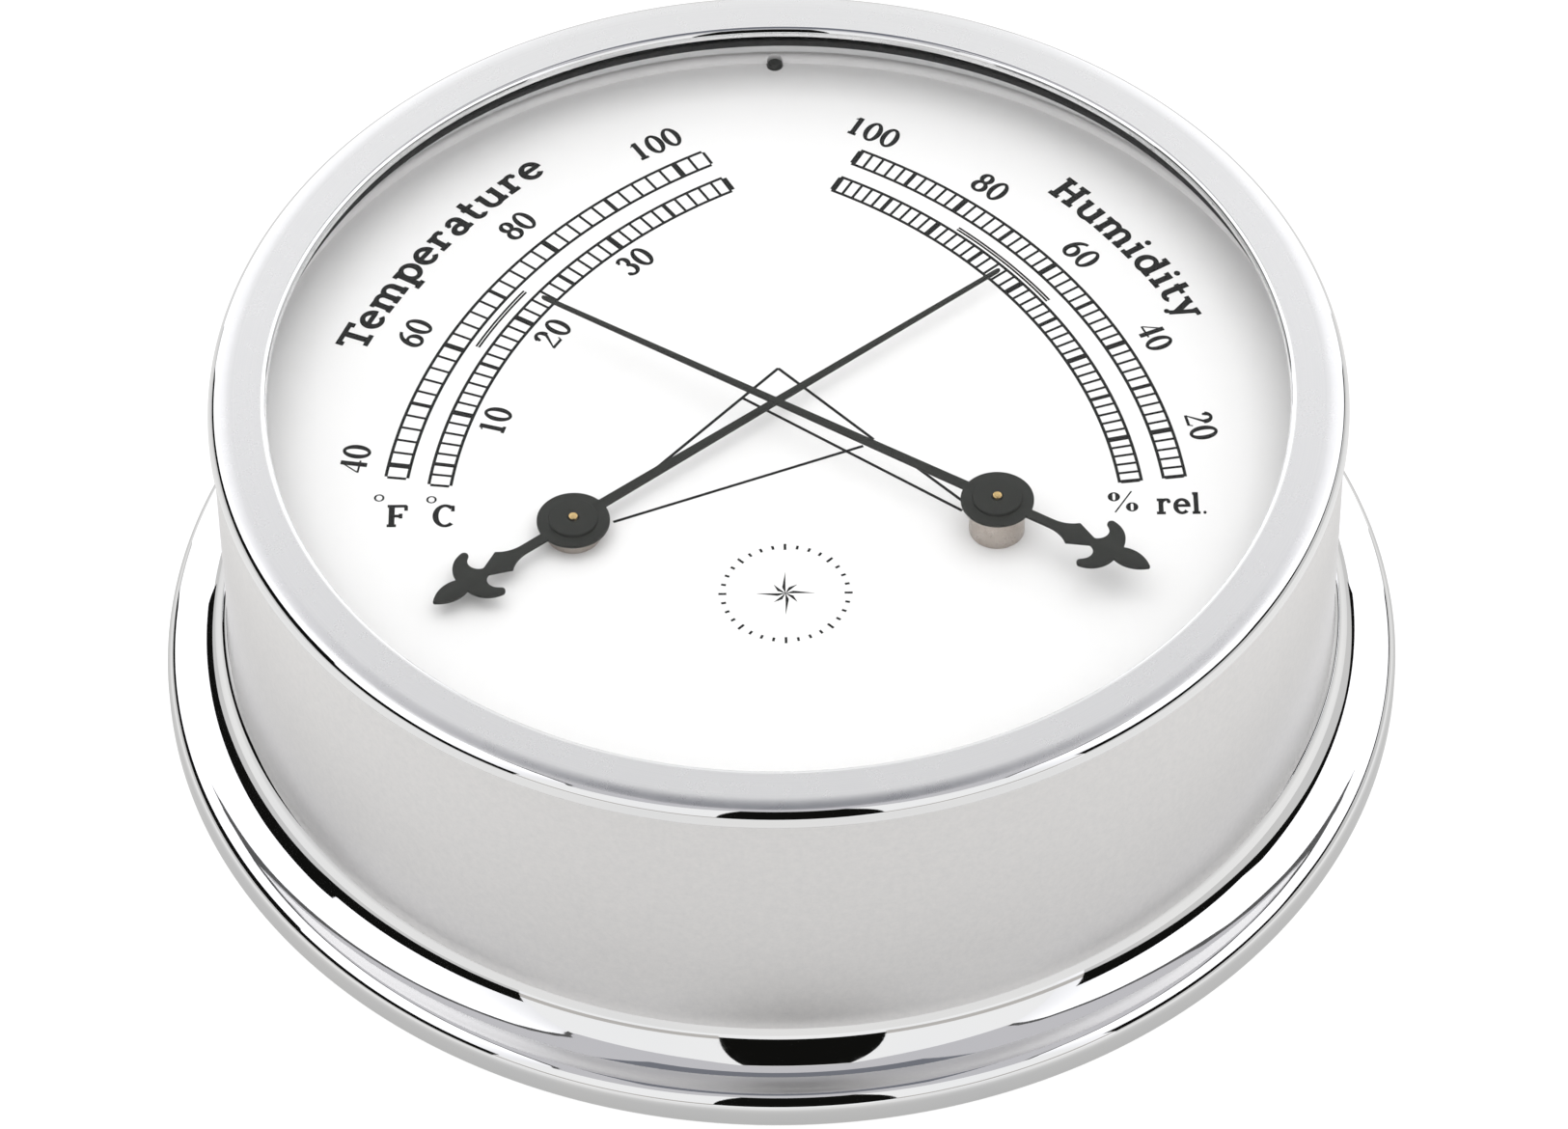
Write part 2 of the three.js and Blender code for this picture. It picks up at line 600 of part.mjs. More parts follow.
// ---- Assembly -----------------------------------------------------------------------------
place(instrument, 'case_shell', caseShell(), 'chrome');
place(instrument, 'bezel_ring', bezelRing(), 'chrome');
place(instrument, 'glass', disc(GLASS_RADIUS, glassBottom, glassTop, 0, 0, RING_SEGMENTS), 'glass');
place(
  instrument,
  'glass_gasket',
  ring(GASKET_INNER_RADIUS, GLASS_RADIUS, gasketBottom, glassBottom),
  'rubber',
);
place(instrument, 'glass_snap_ring', snapRing(), 'steel');
place(instrument, 'dial_plate', dialPlate(), 'dial');
place(instrument, 'dial_clamp_ring', clampRing(), 'dial');
place(
  instrument,
  'dial_locating_pin',
  disc(LOCATING_PIN_RADIUS, dialBottom, DIAL_TOP + LOCATING_PIN_PROUD, 0, LOCATING_PIN_OFFSET, TINY_SEGMENTS),
  'blackSteel',
);
place(instrument, 'back_plate', backPlate(), 'steel');
place(
  instrument,
  'vent_gauze',
  disc(GAUZE_RADIUS, backPlateTop, backPlateTop + GAUZE_THICKNESS, 0, VENT_Y, SMALL_SEGMENTS),
  'gauze',
);
backScrewPlaces().forEach((spot, k) => place(instrument, `back_screw_${k + 1}`, backScrew(spot), 'steel'));

movement({
  name: 'temperature',
  x: TEMPERATURE_PIVOT_X,
  handAngle: TEMPERATURE_HAND_ANGLE,
  handLength: TEMPERATURE_HAND_LENGTH,
  handTop: DIAL_TOP + TEMPERATURE_HAND_TOP,
  coilFinish: 'bimetal',
});
movement({
  name: 'humidity',
  x: HUMIDITY_PIVOT_X,
  handAngle: HUMIDITY_HAND_ANGLE,
  handLength: HUMIDITY_HAND_LENGTH,
  handTop: DIAL_TOP + HUMIDITY_HAND_TOP,
  coilFinish: 'foil',
});

export default instrument;
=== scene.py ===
import json
import math

import bmesh
import bpy
from mathutils import Matrix, Vector


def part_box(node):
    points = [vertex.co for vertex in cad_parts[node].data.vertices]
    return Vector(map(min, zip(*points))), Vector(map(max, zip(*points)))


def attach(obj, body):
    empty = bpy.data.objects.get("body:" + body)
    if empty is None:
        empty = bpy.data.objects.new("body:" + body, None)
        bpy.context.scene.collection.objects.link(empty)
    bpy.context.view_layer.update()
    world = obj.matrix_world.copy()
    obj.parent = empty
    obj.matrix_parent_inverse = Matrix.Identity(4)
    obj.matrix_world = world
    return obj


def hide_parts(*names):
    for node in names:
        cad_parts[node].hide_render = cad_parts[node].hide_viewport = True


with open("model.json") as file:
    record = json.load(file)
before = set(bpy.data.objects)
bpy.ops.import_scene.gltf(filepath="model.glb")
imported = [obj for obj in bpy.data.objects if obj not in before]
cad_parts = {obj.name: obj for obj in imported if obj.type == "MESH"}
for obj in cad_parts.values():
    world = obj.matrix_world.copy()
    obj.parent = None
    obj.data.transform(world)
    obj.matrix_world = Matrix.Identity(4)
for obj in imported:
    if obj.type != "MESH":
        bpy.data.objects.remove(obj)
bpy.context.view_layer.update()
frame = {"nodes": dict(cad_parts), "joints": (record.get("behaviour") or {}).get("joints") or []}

MM = 0.001
SCENE = bpy.context.scene
JOINTS = {joint["name"]: joint for joint in frame["joints"]}
MOVEMENTS = ("temperature", "humidity")


# ---- Places read from the frame -----------------------------------------------------------
def low_z(node):
    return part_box(node)[0].z / MM


def high_z(node):
    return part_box(node)[1].z / MM


def radius_of(node):
    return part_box(node)[1].x / MM


def middle_of(node):
    low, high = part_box(node)
    return (low.x + high.x) / 2 / MM, (low.y + high.y) / 2 / MM


def axis_of(joint):
    x, y, _ = JOINTS[joint]["pos_m"]
    return x / MM, y / MM


# ---- Mesh makers --------------------------------------------------------------------------
SHARP_ANGLE = math.radians(32)
TURNS = 288
SUPPORT_MARGIN = 0.06
LEAST_SUPPORTED = 0.4
WELD = 1e-5
NOWHERE = (900, 901, 900, 901, 0, 1)


def placed(name, data):
    thing = bpy.data.objects.new(name, data)
    SCENE.collection.objects.link(thing)
    return thing


def finished(name, mesh, body, materials, replaces=(), at=(0, 0)):
    """Takes a mesh in millimetres about `at`, and places it as a piece that rides on a body."""
    mesh.transform(Matrix.Scale(MM, 4))
    mesh.shade_smooth()
    mesh.set_sharp_from_angle(angle=SHARP_ANGLE)
    for made in materials:
        mesh.materials.append(made)
    piece = placed(name, mesh)
    piece.location = (at[0] * MM, at[1] * MM, 0)
    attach(piece, body)
    if replaces:
        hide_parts(*replaces)


def mesh_from(name, vertices, faces):
    mesh = bpy.data.meshes.new(name)
    mesh.from_pydata(vertices, [], faces)
    mesh.validate()
    return mesh


def with_supports(profile):
    """Adds points near both ends of each long straight run, so that smooth shading stays in the rounds."""
    points = []
    for (r0, z0), (r1, z1) in zip(profile, profile[1:] + profile[:1]):
        points.append((r0, z0))
        length = math.hypot(r1 - r0, z1 - z0)
        if length > LEAST_SUPPORTED:
            for share in (SUPPORT_MARGIN / length, 1 - SUPPORT_MARGIN / length):
                points.append((r0 + (r1 - r0) * share, z0 + (z1 - z0) * share))
    return points


def polar(centre, radius, degrees):
    angle = math.radians(degrees)
    return centre[0] + radius * math.cos(angle), centre[1] + radius * math.sin(angle)


def rounded(x, y, radius, start, end, steps=10):
    """Points on a round about (x, y), from one angle to another in degrees."""
    return [polar((x, y), radius, start + (end - start) * k / steps) for k in range(steps + 1)]


def lathe(profile, turns=TURNS, finish_of=None, supports=True):
    """Turns a closed [radius, height] profile about Z. A point at radius 0 becomes one pole."""
    points = with_supports(profile) if supports else profile
    vertices, rings = [], []
    for r, z in points:
        if r < 1e-6:
            rings.append([len(vertices)] * turns)
            vertices.append((0, 0, z))
            continue
        rings.append(list(range(len(vertices), len(vertices) + turns)))
        for k in range(turns):
            angle = 2 * math.pi * k / turns
            vertices.append((r * math.cos(angle), r * math.sin(angle), z))
    faces, finishes = [], []
    for j, ring in enumerate(rings):
        following = rings[(j + 1) % len(rings)]
        if ring[0] == ring[-1] and following[0] == following[-1]:
            continue
        finish = finish_of(points[j], points[(j + 1) % len(points)]) if finish_of else 0
        for k in range(turns):
            n = (k + 1) % turns
            corners = [ring[k], ring[n], following[n], following[k]]
            faces.append([c for i, c in enumerate(corners) if c not in corners[:i]])
            finishes.append(finish)
    mesh = mesh_from("turned", vertices, faces)
    mesh.polygons.foreach_set("material_index", finishes)
    turn_outwards(mesh)
    return mesh


def turn_outwards(mesh, weld=0.0):
    """Faces the skin outwards, after joining the points that are closer than `weld`."""
    working = bmesh.new()
    working.from_mesh(mesh)
    if weld:
        bmesh.ops.remove_doubles(working, verts=working.verts, dist=weld)
    bmesh.ops.recalc_face_normals(working, faces=working.faces)
    working.to_mesh(mesh)
    working.free()


def plate(outlines, bottom, top, bevel=0.0):
    """A flat solid from an outline and its holes, all as point lists, with a rounded edge."""
    curve = bpy.data.curves.new("outline", "CURVE")
    curve.dimensions = "2D"
    curve.fill_mode = "BOTH"
    curve.extrude = (top - bottom) / 2 - bevel
    curve.bevel_depth = bevel
    curve.bevel_resolution = 2
    curve.offset = -bevel
    for outline in outlines:
        spline = curve.splines.new("POLY")
        spline.points.add(len(outline) - 1)
        for point, (x, y) in zip(spline.points, outline):
            point.co = (x, y, 0, 1)
        spline.use_cyclic_u = True
    holder = placed("outline", curve)
    mesh = evaluated(holder)
    bpy.data.objects.remove(holder)
    turn_outwards(mesh, WELD)
    mesh.materials.clear()
    mesh.transform(Matrix.Translation((0, 0, (bottom + top) / 2)))
    return mesh


def evaluated(holder):
    depsgraph = bpy.context.evaluated_depsgraph_get()
    return bpy.data.meshes.new_from_object(holder.evaluated_get(depsgraph))


def carved(mesh, tool, united=False):
    """The mesh without what the tool covers. United also melts the mesh's own overlaps into one skin."""
    holder = placed("work", mesh)
    helper = placed("tool", tool)
    modifier = holder.modifiers.new("carve", "BOOLEAN")
    modifier.operation = "DIFFERENCE"
    modifier.solver = "EXACT"
    modifier.use_self = united
    modifier.object = helper
    made = evaluated(holder)
    for thing in (helper, holder):
        bpy.data.objects.remove(thing)
    return made


def circle(radius, x=0.0, y=0.0, steps=64):
    angles = [2 * math.pi * k / steps for k in range(steps)]
    return [(x + radius * math.cos(angle), y + radius * math.sin(angle)) for angle in angles]


def box_mesh(x0, x1, y0, y1, z0, z1):
    corners = [(x, y, z) for z in (z0, z1) for x, y in ((x0, y0), (x1, y0), (x1, y1), (x0, y1))]
    sides = [(3, 2, 1, 0), (4, 5, 6, 7), (0, 1, 5, 4), (1, 2, 6, 5), (2, 3, 7, 6), (3, 0, 4, 7)]
    return mesh_from("block", corners, sides)


# ---- Materials ----------------------------------------------------------------------------
class Finish:
    """A Principled material with a few short cuts for its nodes. Coordinates are the object's, in metres."""

    def __init__(self, name, **sockets):
        self.material = bpy.data.materials.new(name)
        self.material.use_nodes = True
        self.tree = self.material.node_tree
        self.shader = self.tree.nodes["Principled BSDF"]
        for socket, value in sockets.items():
            self.shader.inputs[socket.replace("_", " ")].default_value = value
        self.place = self.add("ShaderNodeTexCoord").outputs["Object"]

    def add(self, kind, links=None, **settings):
        node = self.tree.nodes.new(kind)
        for key, value in settings.items():
            setattr(node, key, value)
        for socket, value in (links or {}).items():
            if isinstance(value, bpy.types.NodeSocket):
                self.tree.links.new(value, node.inputs[socket])
            else:
                node.inputs[socket].default_value = value
        return node

    def noise(self, scale, detail=3.0, roughness=0.55, place=None):
        return self.add("ShaderNodeTexNoise", {
            "Vector": place or self.place, "Scale": scale, "Detail": detail, "Roughness": roughness,
        }).outputs["Fac"]

    def stretched(self, scale):
        """Coordinates stretched along an axis, for brushing."""
        return self.add("ShaderNodeMapping", {"Vector": self.place, "Scale": scale}).outputs["Vector"]

    def maths(self, operation, first, second):
        return self.add("ShaderNodeMath", {0: first, 1: second}, operation=operation).outputs[0]

    def vector(self, operation, *inputs):
        node = self.add("ShaderNodeVectorMath", dict(enumerate(inputs)), operation=operation)
        return node.outputs["Value" if operation == "LENGTH" else "Vector"]

    def parts(self, vector):
        return self.add("ShaderNodeSeparateXYZ", {0: vector}).outputs

    def facing(self):
        """0 where the surface faces the eye, 1 at its edge."""
        return self.add("ShaderNodeLayerWeight", {"Blend": 0.5}).outputs["Facing"]

    def rings(self, scale):
        """Noise that goes with the distance from the turning axis, as a lathe leaves it."""
        reach = self.vector("LENGTH", self.vector("MULTIPLY", self.place, (1, 1, 0)))
        along = self.maths("ADD", reach, self.parts(self.place)["Z"])
        return self.add("ShaderNodeTexNoise", {
            "W": along, "Scale": scale, "Detail": 4.0, "Roughness": 0.6,
        }, noise_dimensions="1D").outputs["Fac"]

    def span(self, value, low, high, start=0.3, end=0.7):
        """Spreads a noise value over low to high."""
        return self.add("ShaderNodeMapRange", {
            "Value": value, "From Min": start, "From Max": end, "To Min": low, "To Max": high,
        }).outputs["Result"]

    def tint(self, value, first, second, start=0.3, end=0.7):
        ramp = self.add("ShaderNodeValToRGB", {"Fac": value})
        stops = ramp.color_ramp.elements
        for stop, position, colour in ((stops[0], start, first), (stops[1], end, second)):
            stop.position = position
            stop.color = (*colour, 1)
        return ramp.outputs["Color"]

    def bump(self, height, strength, depth, before=None):
        links = {"Height": height, "Strength": strength, "Distance": depth}
        if before:
            links["Normal"] = before
        return self.add("ShaderNodeBump", links).outputs["Normal"]

    def done(self, colour, roughness=None, normal=None):
        """The material, with these outputs on its Principled shader."""
        for socket, value in (("Base Color", colour), ("Roughness", roughness), ("Normal", normal)):
            if value:
                self.tree.links.new(value, self.shader.inputs[socket])
        return self.material

    def shaded(self, shader):
        """The material, with another shader in place of the Principled one."""
        self.tree.nodes.remove(self.shader)
        self.tree.links.new(shader, self.tree.nodes["Material Output"].inputs["Surface"])
        return self.material

    def glowing(self, colour, strength):
        light = self.add("ShaderNodeEmission", {"Color": (*colour, 1), "Strength": strength})
        return self.shaded(light.outputs[0])


def polished_chrome():
    made = Finish("polished_chrome", Metallic=1.0)
    colour = made.tint(made.noise(60), (0.775, 0.78, 0.79), (0.80, 0.80, 0.80))
    haze = made.span(made.noise(900, 5), 0.01, 0.04)
    return made.done(colour, haze, made.bump(made.noise(5200, 2), 0.03, 0.000004))


def wall_chrome():
    """Fine satin, a little smoother at a low angle."""
    made = Finish("wall_chrome", Metallic=1.0)
    grain = made.noise(1500, 5, 0.75)
    colour = made.tint(grain, (0.705, 0.70, 0.70), (0.775, 0.765, 0.76))
    satin = made.span(made.facing(), 0.46, 0.34, 0.42, 0.7)
    rough = made.maths("MULTIPLY", satin, made.span(grain, 0.92, 1.08))
    return made.done(colour, rough, made.bump(grain, 0.04, 0.000006))


def satin_chrome():
    made = Finish("satin_chrome", Metallic=1.0)
    lines = made.rings(5000)
    colour = made.tint(lines, (0.715, 0.717, 0.72), (0.735, 0.735, 0.735))
    satin = made.span(made.noise(500, 5), 0.26, 0.3)
    return made.done(colour, satin, made.bump(lines, 0.004, 0.000003))


def enamel():
    made = Finish("white_enamel", Specular_IOR_Level=0.3)
    colour = made.tint(made.noise(45, 4), (0.79, 0.772, 0.776), (0.81, 0.792, 0.796))
    sheen = made.span(made.noise(3000, 4), 0.5, 0.6)
    return made.done(colour, sheen, made.bump(made.noise(2500, 2), 0.02, 0.000005))


def ink():
    made = Finish("dial_ink", Specular_IOR_Level=0.05)
    cover = made.noise(9000, 3)
    colour = made.tint(cover, (0.004, 0.004, 0.004), (0.012, 0.012, 0.012))
    return made.done(colour, made.span(cover, 0.5, 0.75), made.bump(cover, 0.2, 0.00001))


def black_lacquer():
    made = Finish("black_lacquer", Specular_IOR_Level=0.16)
    grain = made.noise(4500, 5)
    colour = made.tint(grain, (0.010, 0.0105, 0.009), (0.018, 0.019, 0.016))
    sheen = made.span(made.noise(1500, 4), 0.38, 0.55)
    return made.done(colour, sheen, made.bump(grain, 0.15, 0.00001))


def metal(name, dark, light, rough):
    """Turned metal with fine tool rings and a little tarnish."""
    made = Finish(name, Metallic=1.0)
    tarnish = made.tint(made.noise(700, 4), dark, light)
    worn = made.span(made.noise(2500, 4), rough - 0.07, rough + 0.08)
    return made.done(tarnish, worn, made.bump(made.rings(9000), 0.3, 0.00001))


BRUSHING = (60, 4500, 4500)
SCRATCHING = (18, 1125, 1125)


def brushed(name, dark, light, rough, metallic=1.0):
    """Sheet metal brushed along X, with a few deeper scratches."""
    made = Finish(name, Metallic=metallic)
    grain = made.noise(1.0, 5, 0.65, made.stretched(BRUSHING))
    scratch = made.noise(1.0, 2, 0.5, made.stretched(SCRATCHING))
    worn = made.span(scratch, rough - 0.08, rough + 0.1)
    scratched = made.bump(scratch, 0.2, 0.00002)
    return made.done(made.tint(grain, dark, light), worn, made.bump(grain, 0.3, 0.00001, scratched))


def rubber():
    made = Finish("black_rubber", Specular_IOR_Level=0.3)
    grain = made.noise(5000, 4)
    colour = made.tint(grain, (0.008, 0.008, 0.008), (0.02, 0.02, 0.02))
    return made.done(colour, made.span(grain, 0.65, 0.9), made.bump(grain, 0.4, 0.00002))


def gauze():
    made = Finish("dust_gauze", Specular_IOR_Level=0.3)
    threads = []
    for across, scale in (("X", (1, 0, 0)), ("Y", (0, 1, 0))):
        threads.append(made.add("ShaderNodeTexWave", {
            "Vector": made.stretched(scale), "Scale": 620.0, "Distortion": 0.4,
        }, bands_direction=across).outputs["Fac"])
    weave = made.maths("MAXIMUM", *threads)
    colour = made.tint(weave, (0.02, 0.02, 0.02), (0.22, 0.22, 0.21), 0.35, 0.75)
    return made.done(colour, made.span(weave, 0.9, 0.6), made.bump(weave, 0.8, 0.0001))


GLASS_REFLECTION = 0.01
GLASS_FALLOFF = 5.0


def clear_glass():
    """Flat glass: mirrors a little by angle, the same on both faces, and lets the rest straight through."""
    made = Finish("clear_glass")
    smear = made.span(made.noise(120, 5), 0.0, 0.03)
    clear = made.add("ShaderNodeBsdfTransparent", {"Color": (0.985, 0.99, 0.988, 1)}).outputs[0]
    gloss = made.add("ShaderNodeBsdfGlossy", {"Color": (1, 1, 1, 1), "Roughness": smear}).outputs[0]
    falloff = made.maths("POWER", made.facing(), GLASS_FALLOFF)
    share = made.span(falloff, GLASS_REFLECTION, 1.0, 0.0, 1.0)
    return made.shaded(made.add("ShaderNodeMixShader", {0: share, 1: clear, 2: gloss}).outputs[0])


CHROME = polished_chrome()
WALL = wall_chrome()
SATIN = satin_chrome()
ENAMEL = enamel()
INK = ink()
LACQUER = black_lacquer()
RUBBER = rubber()
GLASS = clear_glass()
GAUZE = gauze()
NICKEL = metal("turned_nickel", (0.42, 0.37, 0.33), (0.50, 0.45, 0.41), 0.3)
BRASS = metal("turned_brass", (0.62, 0.42, 0.17), (0.72, 0.52, 0.25), 0.25)
STEEL = brushed("zinc_steel", (0.44, 0.45, 0.46), (0.58, 0.585, 0.59), 0.3)
BIMETAL = brushed("rolled_bimetal", (0.45, 0.26, 0.15), (0.56, 0.36, 0.22), 0.32)
FOIL = brushed("coated_foil", (0.46, 0.41, 0.32), (0.58, 0.53, 0.43), 0.6, metallic=0.0)

# ---- Case and bezel -----------------------------------------------------------------------
CASE_TOP = high_z("bezel_ring")
BASE_R = radius_of("case_shell")
BEZEL_R = radius_of("bezel_ring")
DIAL_Z = high_z("dial_plate")
DIAL_R = radius_of("dial_plate")
FLANGE_Z = 3.4
FLANGE_ROUND = 1.6
BASE_ROUND = 0.3
FILLET = 4.7
WALL_R = 53.7
WALL_INNER_R = 52.7
LOWER_INNER_R = 52.0
LEDGE_R = 50.0
LEDGE_THICKNESS = 1.5
LEDGE_SLOPE = 1.7
BACK_LEDGE_R = 48.2
BACK_LEDGE_TOP = 5.0
RECESS_R = 51.6
RECESS_Z = high_z("back_plate")
BEZEL_ROUND = 1.35
SATIN_EDGE_TILT = 66
CROWN_R = 6.0
CROWN_TILT = 10.0
LIP_R = 48.4
LIP_ROUND = 0.6
SKIRT_OUTER_R = 52.3
SKIRT_INNER_R = 51.3
SKIRT_BOTTOM = low_z("bezel_ring")
RIM_HEIGHT = 1.8
SEAM_Z = CASE_TOP - RIM_HEIGHT
SATIN_END_ANGLE = 17
SATIN_END_R = WALL_R + FILLET * (1 - math.cos(math.radians(SATIN_END_ANGLE)))
SEAM = 0.03
SEAM_ROUND = 0.08
EASE = 0.12
GLASS_GAP = 0.02
OPENING_BAND = 0.05
SATIN_BAND = 0.2


def case_profile():
    ledge_top = low_z("dial_plate")
    centre = WALL_R + FILLET
    wall_top = SEAM_Z - SEAM
    return [
        (RECESS_R, EASE),
        (RECESS_R + EASE, 0),
        (BASE_R - BASE_ROUND, 0),
        *rounded(BASE_R - BASE_ROUND, BASE_ROUND, BASE_ROUND, -60, 0, 4),
        *rounded(BASE_R - FLANGE_ROUND, FLANGE_Z - FLANGE_ROUND, FLANGE_ROUND, 0, 90, 12),
        *rounded(centre, FLANGE_Z + FILLET, FILLET, 270, 180, 28),
        *rounded(WALL_R - SEAM_ROUND, wall_top - SEAM_ROUND, SEAM_ROUND, 0, 90, 4),
        (WALL_INNER_R, wall_top),
        (WALL_INNER_R, ledge_top),
        (LEDGE_R, ledge_top),
        (LEDGE_R, ledge_top - LEDGE_THICKNESS),
        (LOWER_INNER_R, ledge_top - LEDGE_THICKNESS - LEDGE_SLOPE),
        (LOWER_INNER_R, BACK_LEDGE_TOP),
        (BACK_LEDGE_R, BACK_LEDGE_TOP),
        (BACK_LEDGE_R, RECESS_Z),
        (RECESS_R, RECESS_Z),
    ]


def bezel_profile():
    seat = high_z("glass") + GLASS_GAP
    edge = BEZEL_R - BEZEL_ROUND
    tilt = math.radians(CROWN_TILT)
    crown_r = edge + (BEZEL_ROUND - CROWN_R) * math.sin(tilt)
    drop = (CROWN_R - BEZEL_ROUND) * (1 - math.cos(tilt))
    return [
        (LIP_R, seat),
        (SKIRT_INNER_R, seat),
        (SKIRT_INNER_R, SKIRT_BOTTOM),
        (SKIRT_OUTER_R, SKIRT_BOTTOM),
        (SKIRT_OUTER_R, SEAM_Z),
        (BEZEL_R - SEAM_ROUND, SEAM_Z),
        *rounded(BEZEL_R - SEAM_ROUND, SEAM_Z + SEAM_ROUND, SEAM_ROUND, -60, 0, 3),
        *rounded(edge, CASE_TOP - BEZEL_ROUND - drop, BEZEL_ROUND, 0, 90 - CROWN_TILT, 18),
        *rounded(crown_r, CASE_TOP - CROWN_R, CROWN_R, 90 - CROWN_TILT, 90, 5)[1:],
        *rounded(LIP_R + LIP_ROUND, CASE_TOP - LIP_ROUND, LIP_ROUND, 90, 180, 10),
    ]


def bezel_finish(first, second):
    """The flat front face, the start of its outer edge and the wall of the opening are satin."""
    tilt = math.degrees(math.atan2(abs(second[0] - first[0]), abs(second[1] - first[1])))
    outside = min(first[0], second[0]) > LIP_R + LIP_ROUND - 1e-4
    if max(first[0], second[0]) < LIP_R + OPENING_BAND:
        return 1
    return 1 if outside and tilt > SATIN_EDGE_TILT and min(first[1], second[1]) > SEAM_Z + SATIN_BAND else 0


def case_finish(first, second):
    """The outer wall is satin as far as the first part of the foot's fillet, the rest is polished."""
    outside = min(first[0], second[0]) > WALL_R - 1e-4 and max(first[0], second[0]) < SATIN_END_R
    return 1 if outside and min(first[1], second[1]) > FLANGE_Z + FILLET / 2 else 0


finished("case_turned", lathe(case_profile(), finish_of=case_finish), "case", [CHROME, WALL],
         ["case_shell"])
finished("bezel_turned", lathe(bezel_profile(), finish_of=bezel_finish), "case", [CHROME, SATIN],
         ["bezel_ring"])

# ---- Glass, gasket, clamp ring ------------------------------------------------------------
GLASS_CHAMFER = 0.15
glass_r = radius_of("glass")
finished("glass_pane", lathe([
    (0, low_z("glass")),
    (glass_r - GLASS_CHAMFER, low_z("glass")),
    (glass_r, low_z("glass") + GLASS_CHAMFER),
    (glass_r, high_z("glass") - GLASS_CHAMFER),
    (glass_r - GLASS_CHAMFER, high_z("glass")),
    (0, high_z("glass")),
], supports=False), "case", [GLASS], ["glass"])

GASKET_R = 49.2
GASKET_LOW_ROUND = 0.3
GASKET_TOP_ROUND = 0.2
gasket_low, gasket_high = low_z("glass_gasket"), high_z("glass_gasket")
finished("gasket_moulded", lathe([
    *rounded(GASKET_R + GASKET_LOW_ROUND, gasket_low + GASKET_LOW_ROUND, GASKET_LOW_ROUND, 180, 270, 5),
    (glass_r, gasket_low),
    (glass_r, gasket_high),
    *rounded(GASKET_R + GASKET_TOP_ROUND, gasket_high - GASKET_TOP_ROUND, GASKET_TOP_ROUND, 90, 180, 4),
]), "case", [RUBBER], ["glass_gasket"])

CLAMP_R = 51.2
CLAMP_ROUND = 0.6
CLAMP_CHAMFER = 0.1
PIN_PROUD = 0.5
PIN_DEPTH = 0.8
PIN_CHAMFER = 0.2
PIN_GAP = 0.15
clamp_top = high_z("dial_clamp_ring")
pin_at = middle_of("dial_locating_pin")
pin_r = radius_of("dial_locating_pin")
pin_top = DIAL_Z + PIN_PROUD
pin_hole = circle(pin_r + PIN_GAP, *pin_at, 32)
clamp = lathe([
    (CLAMP_R, DIAL_Z),
    (DIAL_R, DIAL_Z),
    (DIAL_R, clamp_top - CLAMP_CHAMFER),
    (DIAL_R - CLAMP_CHAMFER, clamp_top),
    *rounded(CLAMP_R + CLAMP_ROUND, clamp_top - CLAMP_ROUND, CLAMP_ROUND, 90, 180, 8),
])
clamp = carved(clamp, plate([pin_hole], DIAL_Z - 3, DIAL_Z + 3))
finished("clamp_ring_turned", clamp, "case", [ENAMEL], ["dial_clamp_ring"])
finished("locating_pin", lathe([
    (0, DIAL_Z - PIN_DEPTH),
    (pin_r, DIAL_Z - PIN_DEPTH),
    (pin_r, pin_top - PIN_CHAMFER),
    (pin_r - PIN_CHAMFER, pin_top),
    (0, pin_top),
], 40, supports=False), "case", [LACQUER], ["dial_locating_pin"], pin_at)

# ---- Dial ---------------------------------------------------------------------------------
BUSH_HOLE_R = 1.9
dial_outlines = [circle(DIAL_R, steps=TURNS), pin_hole]
dial_outlines += [circle(BUSH_HOLE_R, *axis_of(movement + "_turn")) for movement in MOVEMENTS]
finished("dial_enamelled", plate(dial_outlines, low_z("dial_plate"), DIAL_Z), "case", [ENAMEL],
         ["dial_plate"])


# ---- Printing -----------------------------------------------------------------------------
INK_HEIGHT = 0.02


class Print:
    """Thin solids of ink on the dial, gathered into one piece."""

    def __init__(self):
        self.vertices = []
        self.faces = []

    def strip(self, left, right):
        """A closed prism between two lines of points."""
        base = len(self.vertices)
        count = len(left)
        for z in (DIAL_Z, DIAL_Z + INK_HEIGHT):
            self.vertices += [(x, y, z) for x, y in (*left, *right)]
        rows = [range(base + row * count, base + (row + 1) * count) for row in range(4)]
        for k in range(count - 1):
            for a, b in ((0, 1), (2, 3), (0, 2), (1, 3)):
                self.faces.append([rows[a][k], rows[a][k + 1], rows[b][k + 1], rows[b][k]])
        for k in (0, -1):
            self.faces.append([rows[0][k], rows[1][k], rows[3][k], rows[2][k]])

    def line(self, start, end, width):
        self.strip(*edges(start, end, width, width))

    def arc(self, centre, radius, width, start, end, steps):
        radii = (radius + width / 2, radius - width / 2)
        self.strip(*[rounded(*centre, r, start, end, steps) for r in radii])

    def finish(self, name, united=False):
        mesh = mesh_from(name, self.vertices, self.faces)
        turn_outwards(mesh)
        if united:
            mesh = carved(mesh, box_mesh(*NOWHERE), united=True)
        finished(name, mesh, "case", [INK])


def edges(start, end, width, end_width):
    """The two long edges of a straight stroke."""
    dx, dy = end[0] - start[0], end[1] - start[1]
    length = math.hypot(dx, dy)
    nx, ny = -dy / length / 2, dx / length / 2
    ends = ((start, width), (end, end_width))
    return [[(x + side * nx * wide, y + side * ny * wide) for (x, y), wide in ends] for side in (1, -1)]


BAND_LINE = 0.3
COMFORT_LINE = 0.3
COMFORT_ARC = 0.2
HAIR = 0.27
MEDIUM = 0.44
THICK = 0.6
INNER_BAND = (51.9, 54.0)
OUTER_BAND = (56.1, 58.2)
BAND_OVERLAP = 0.1


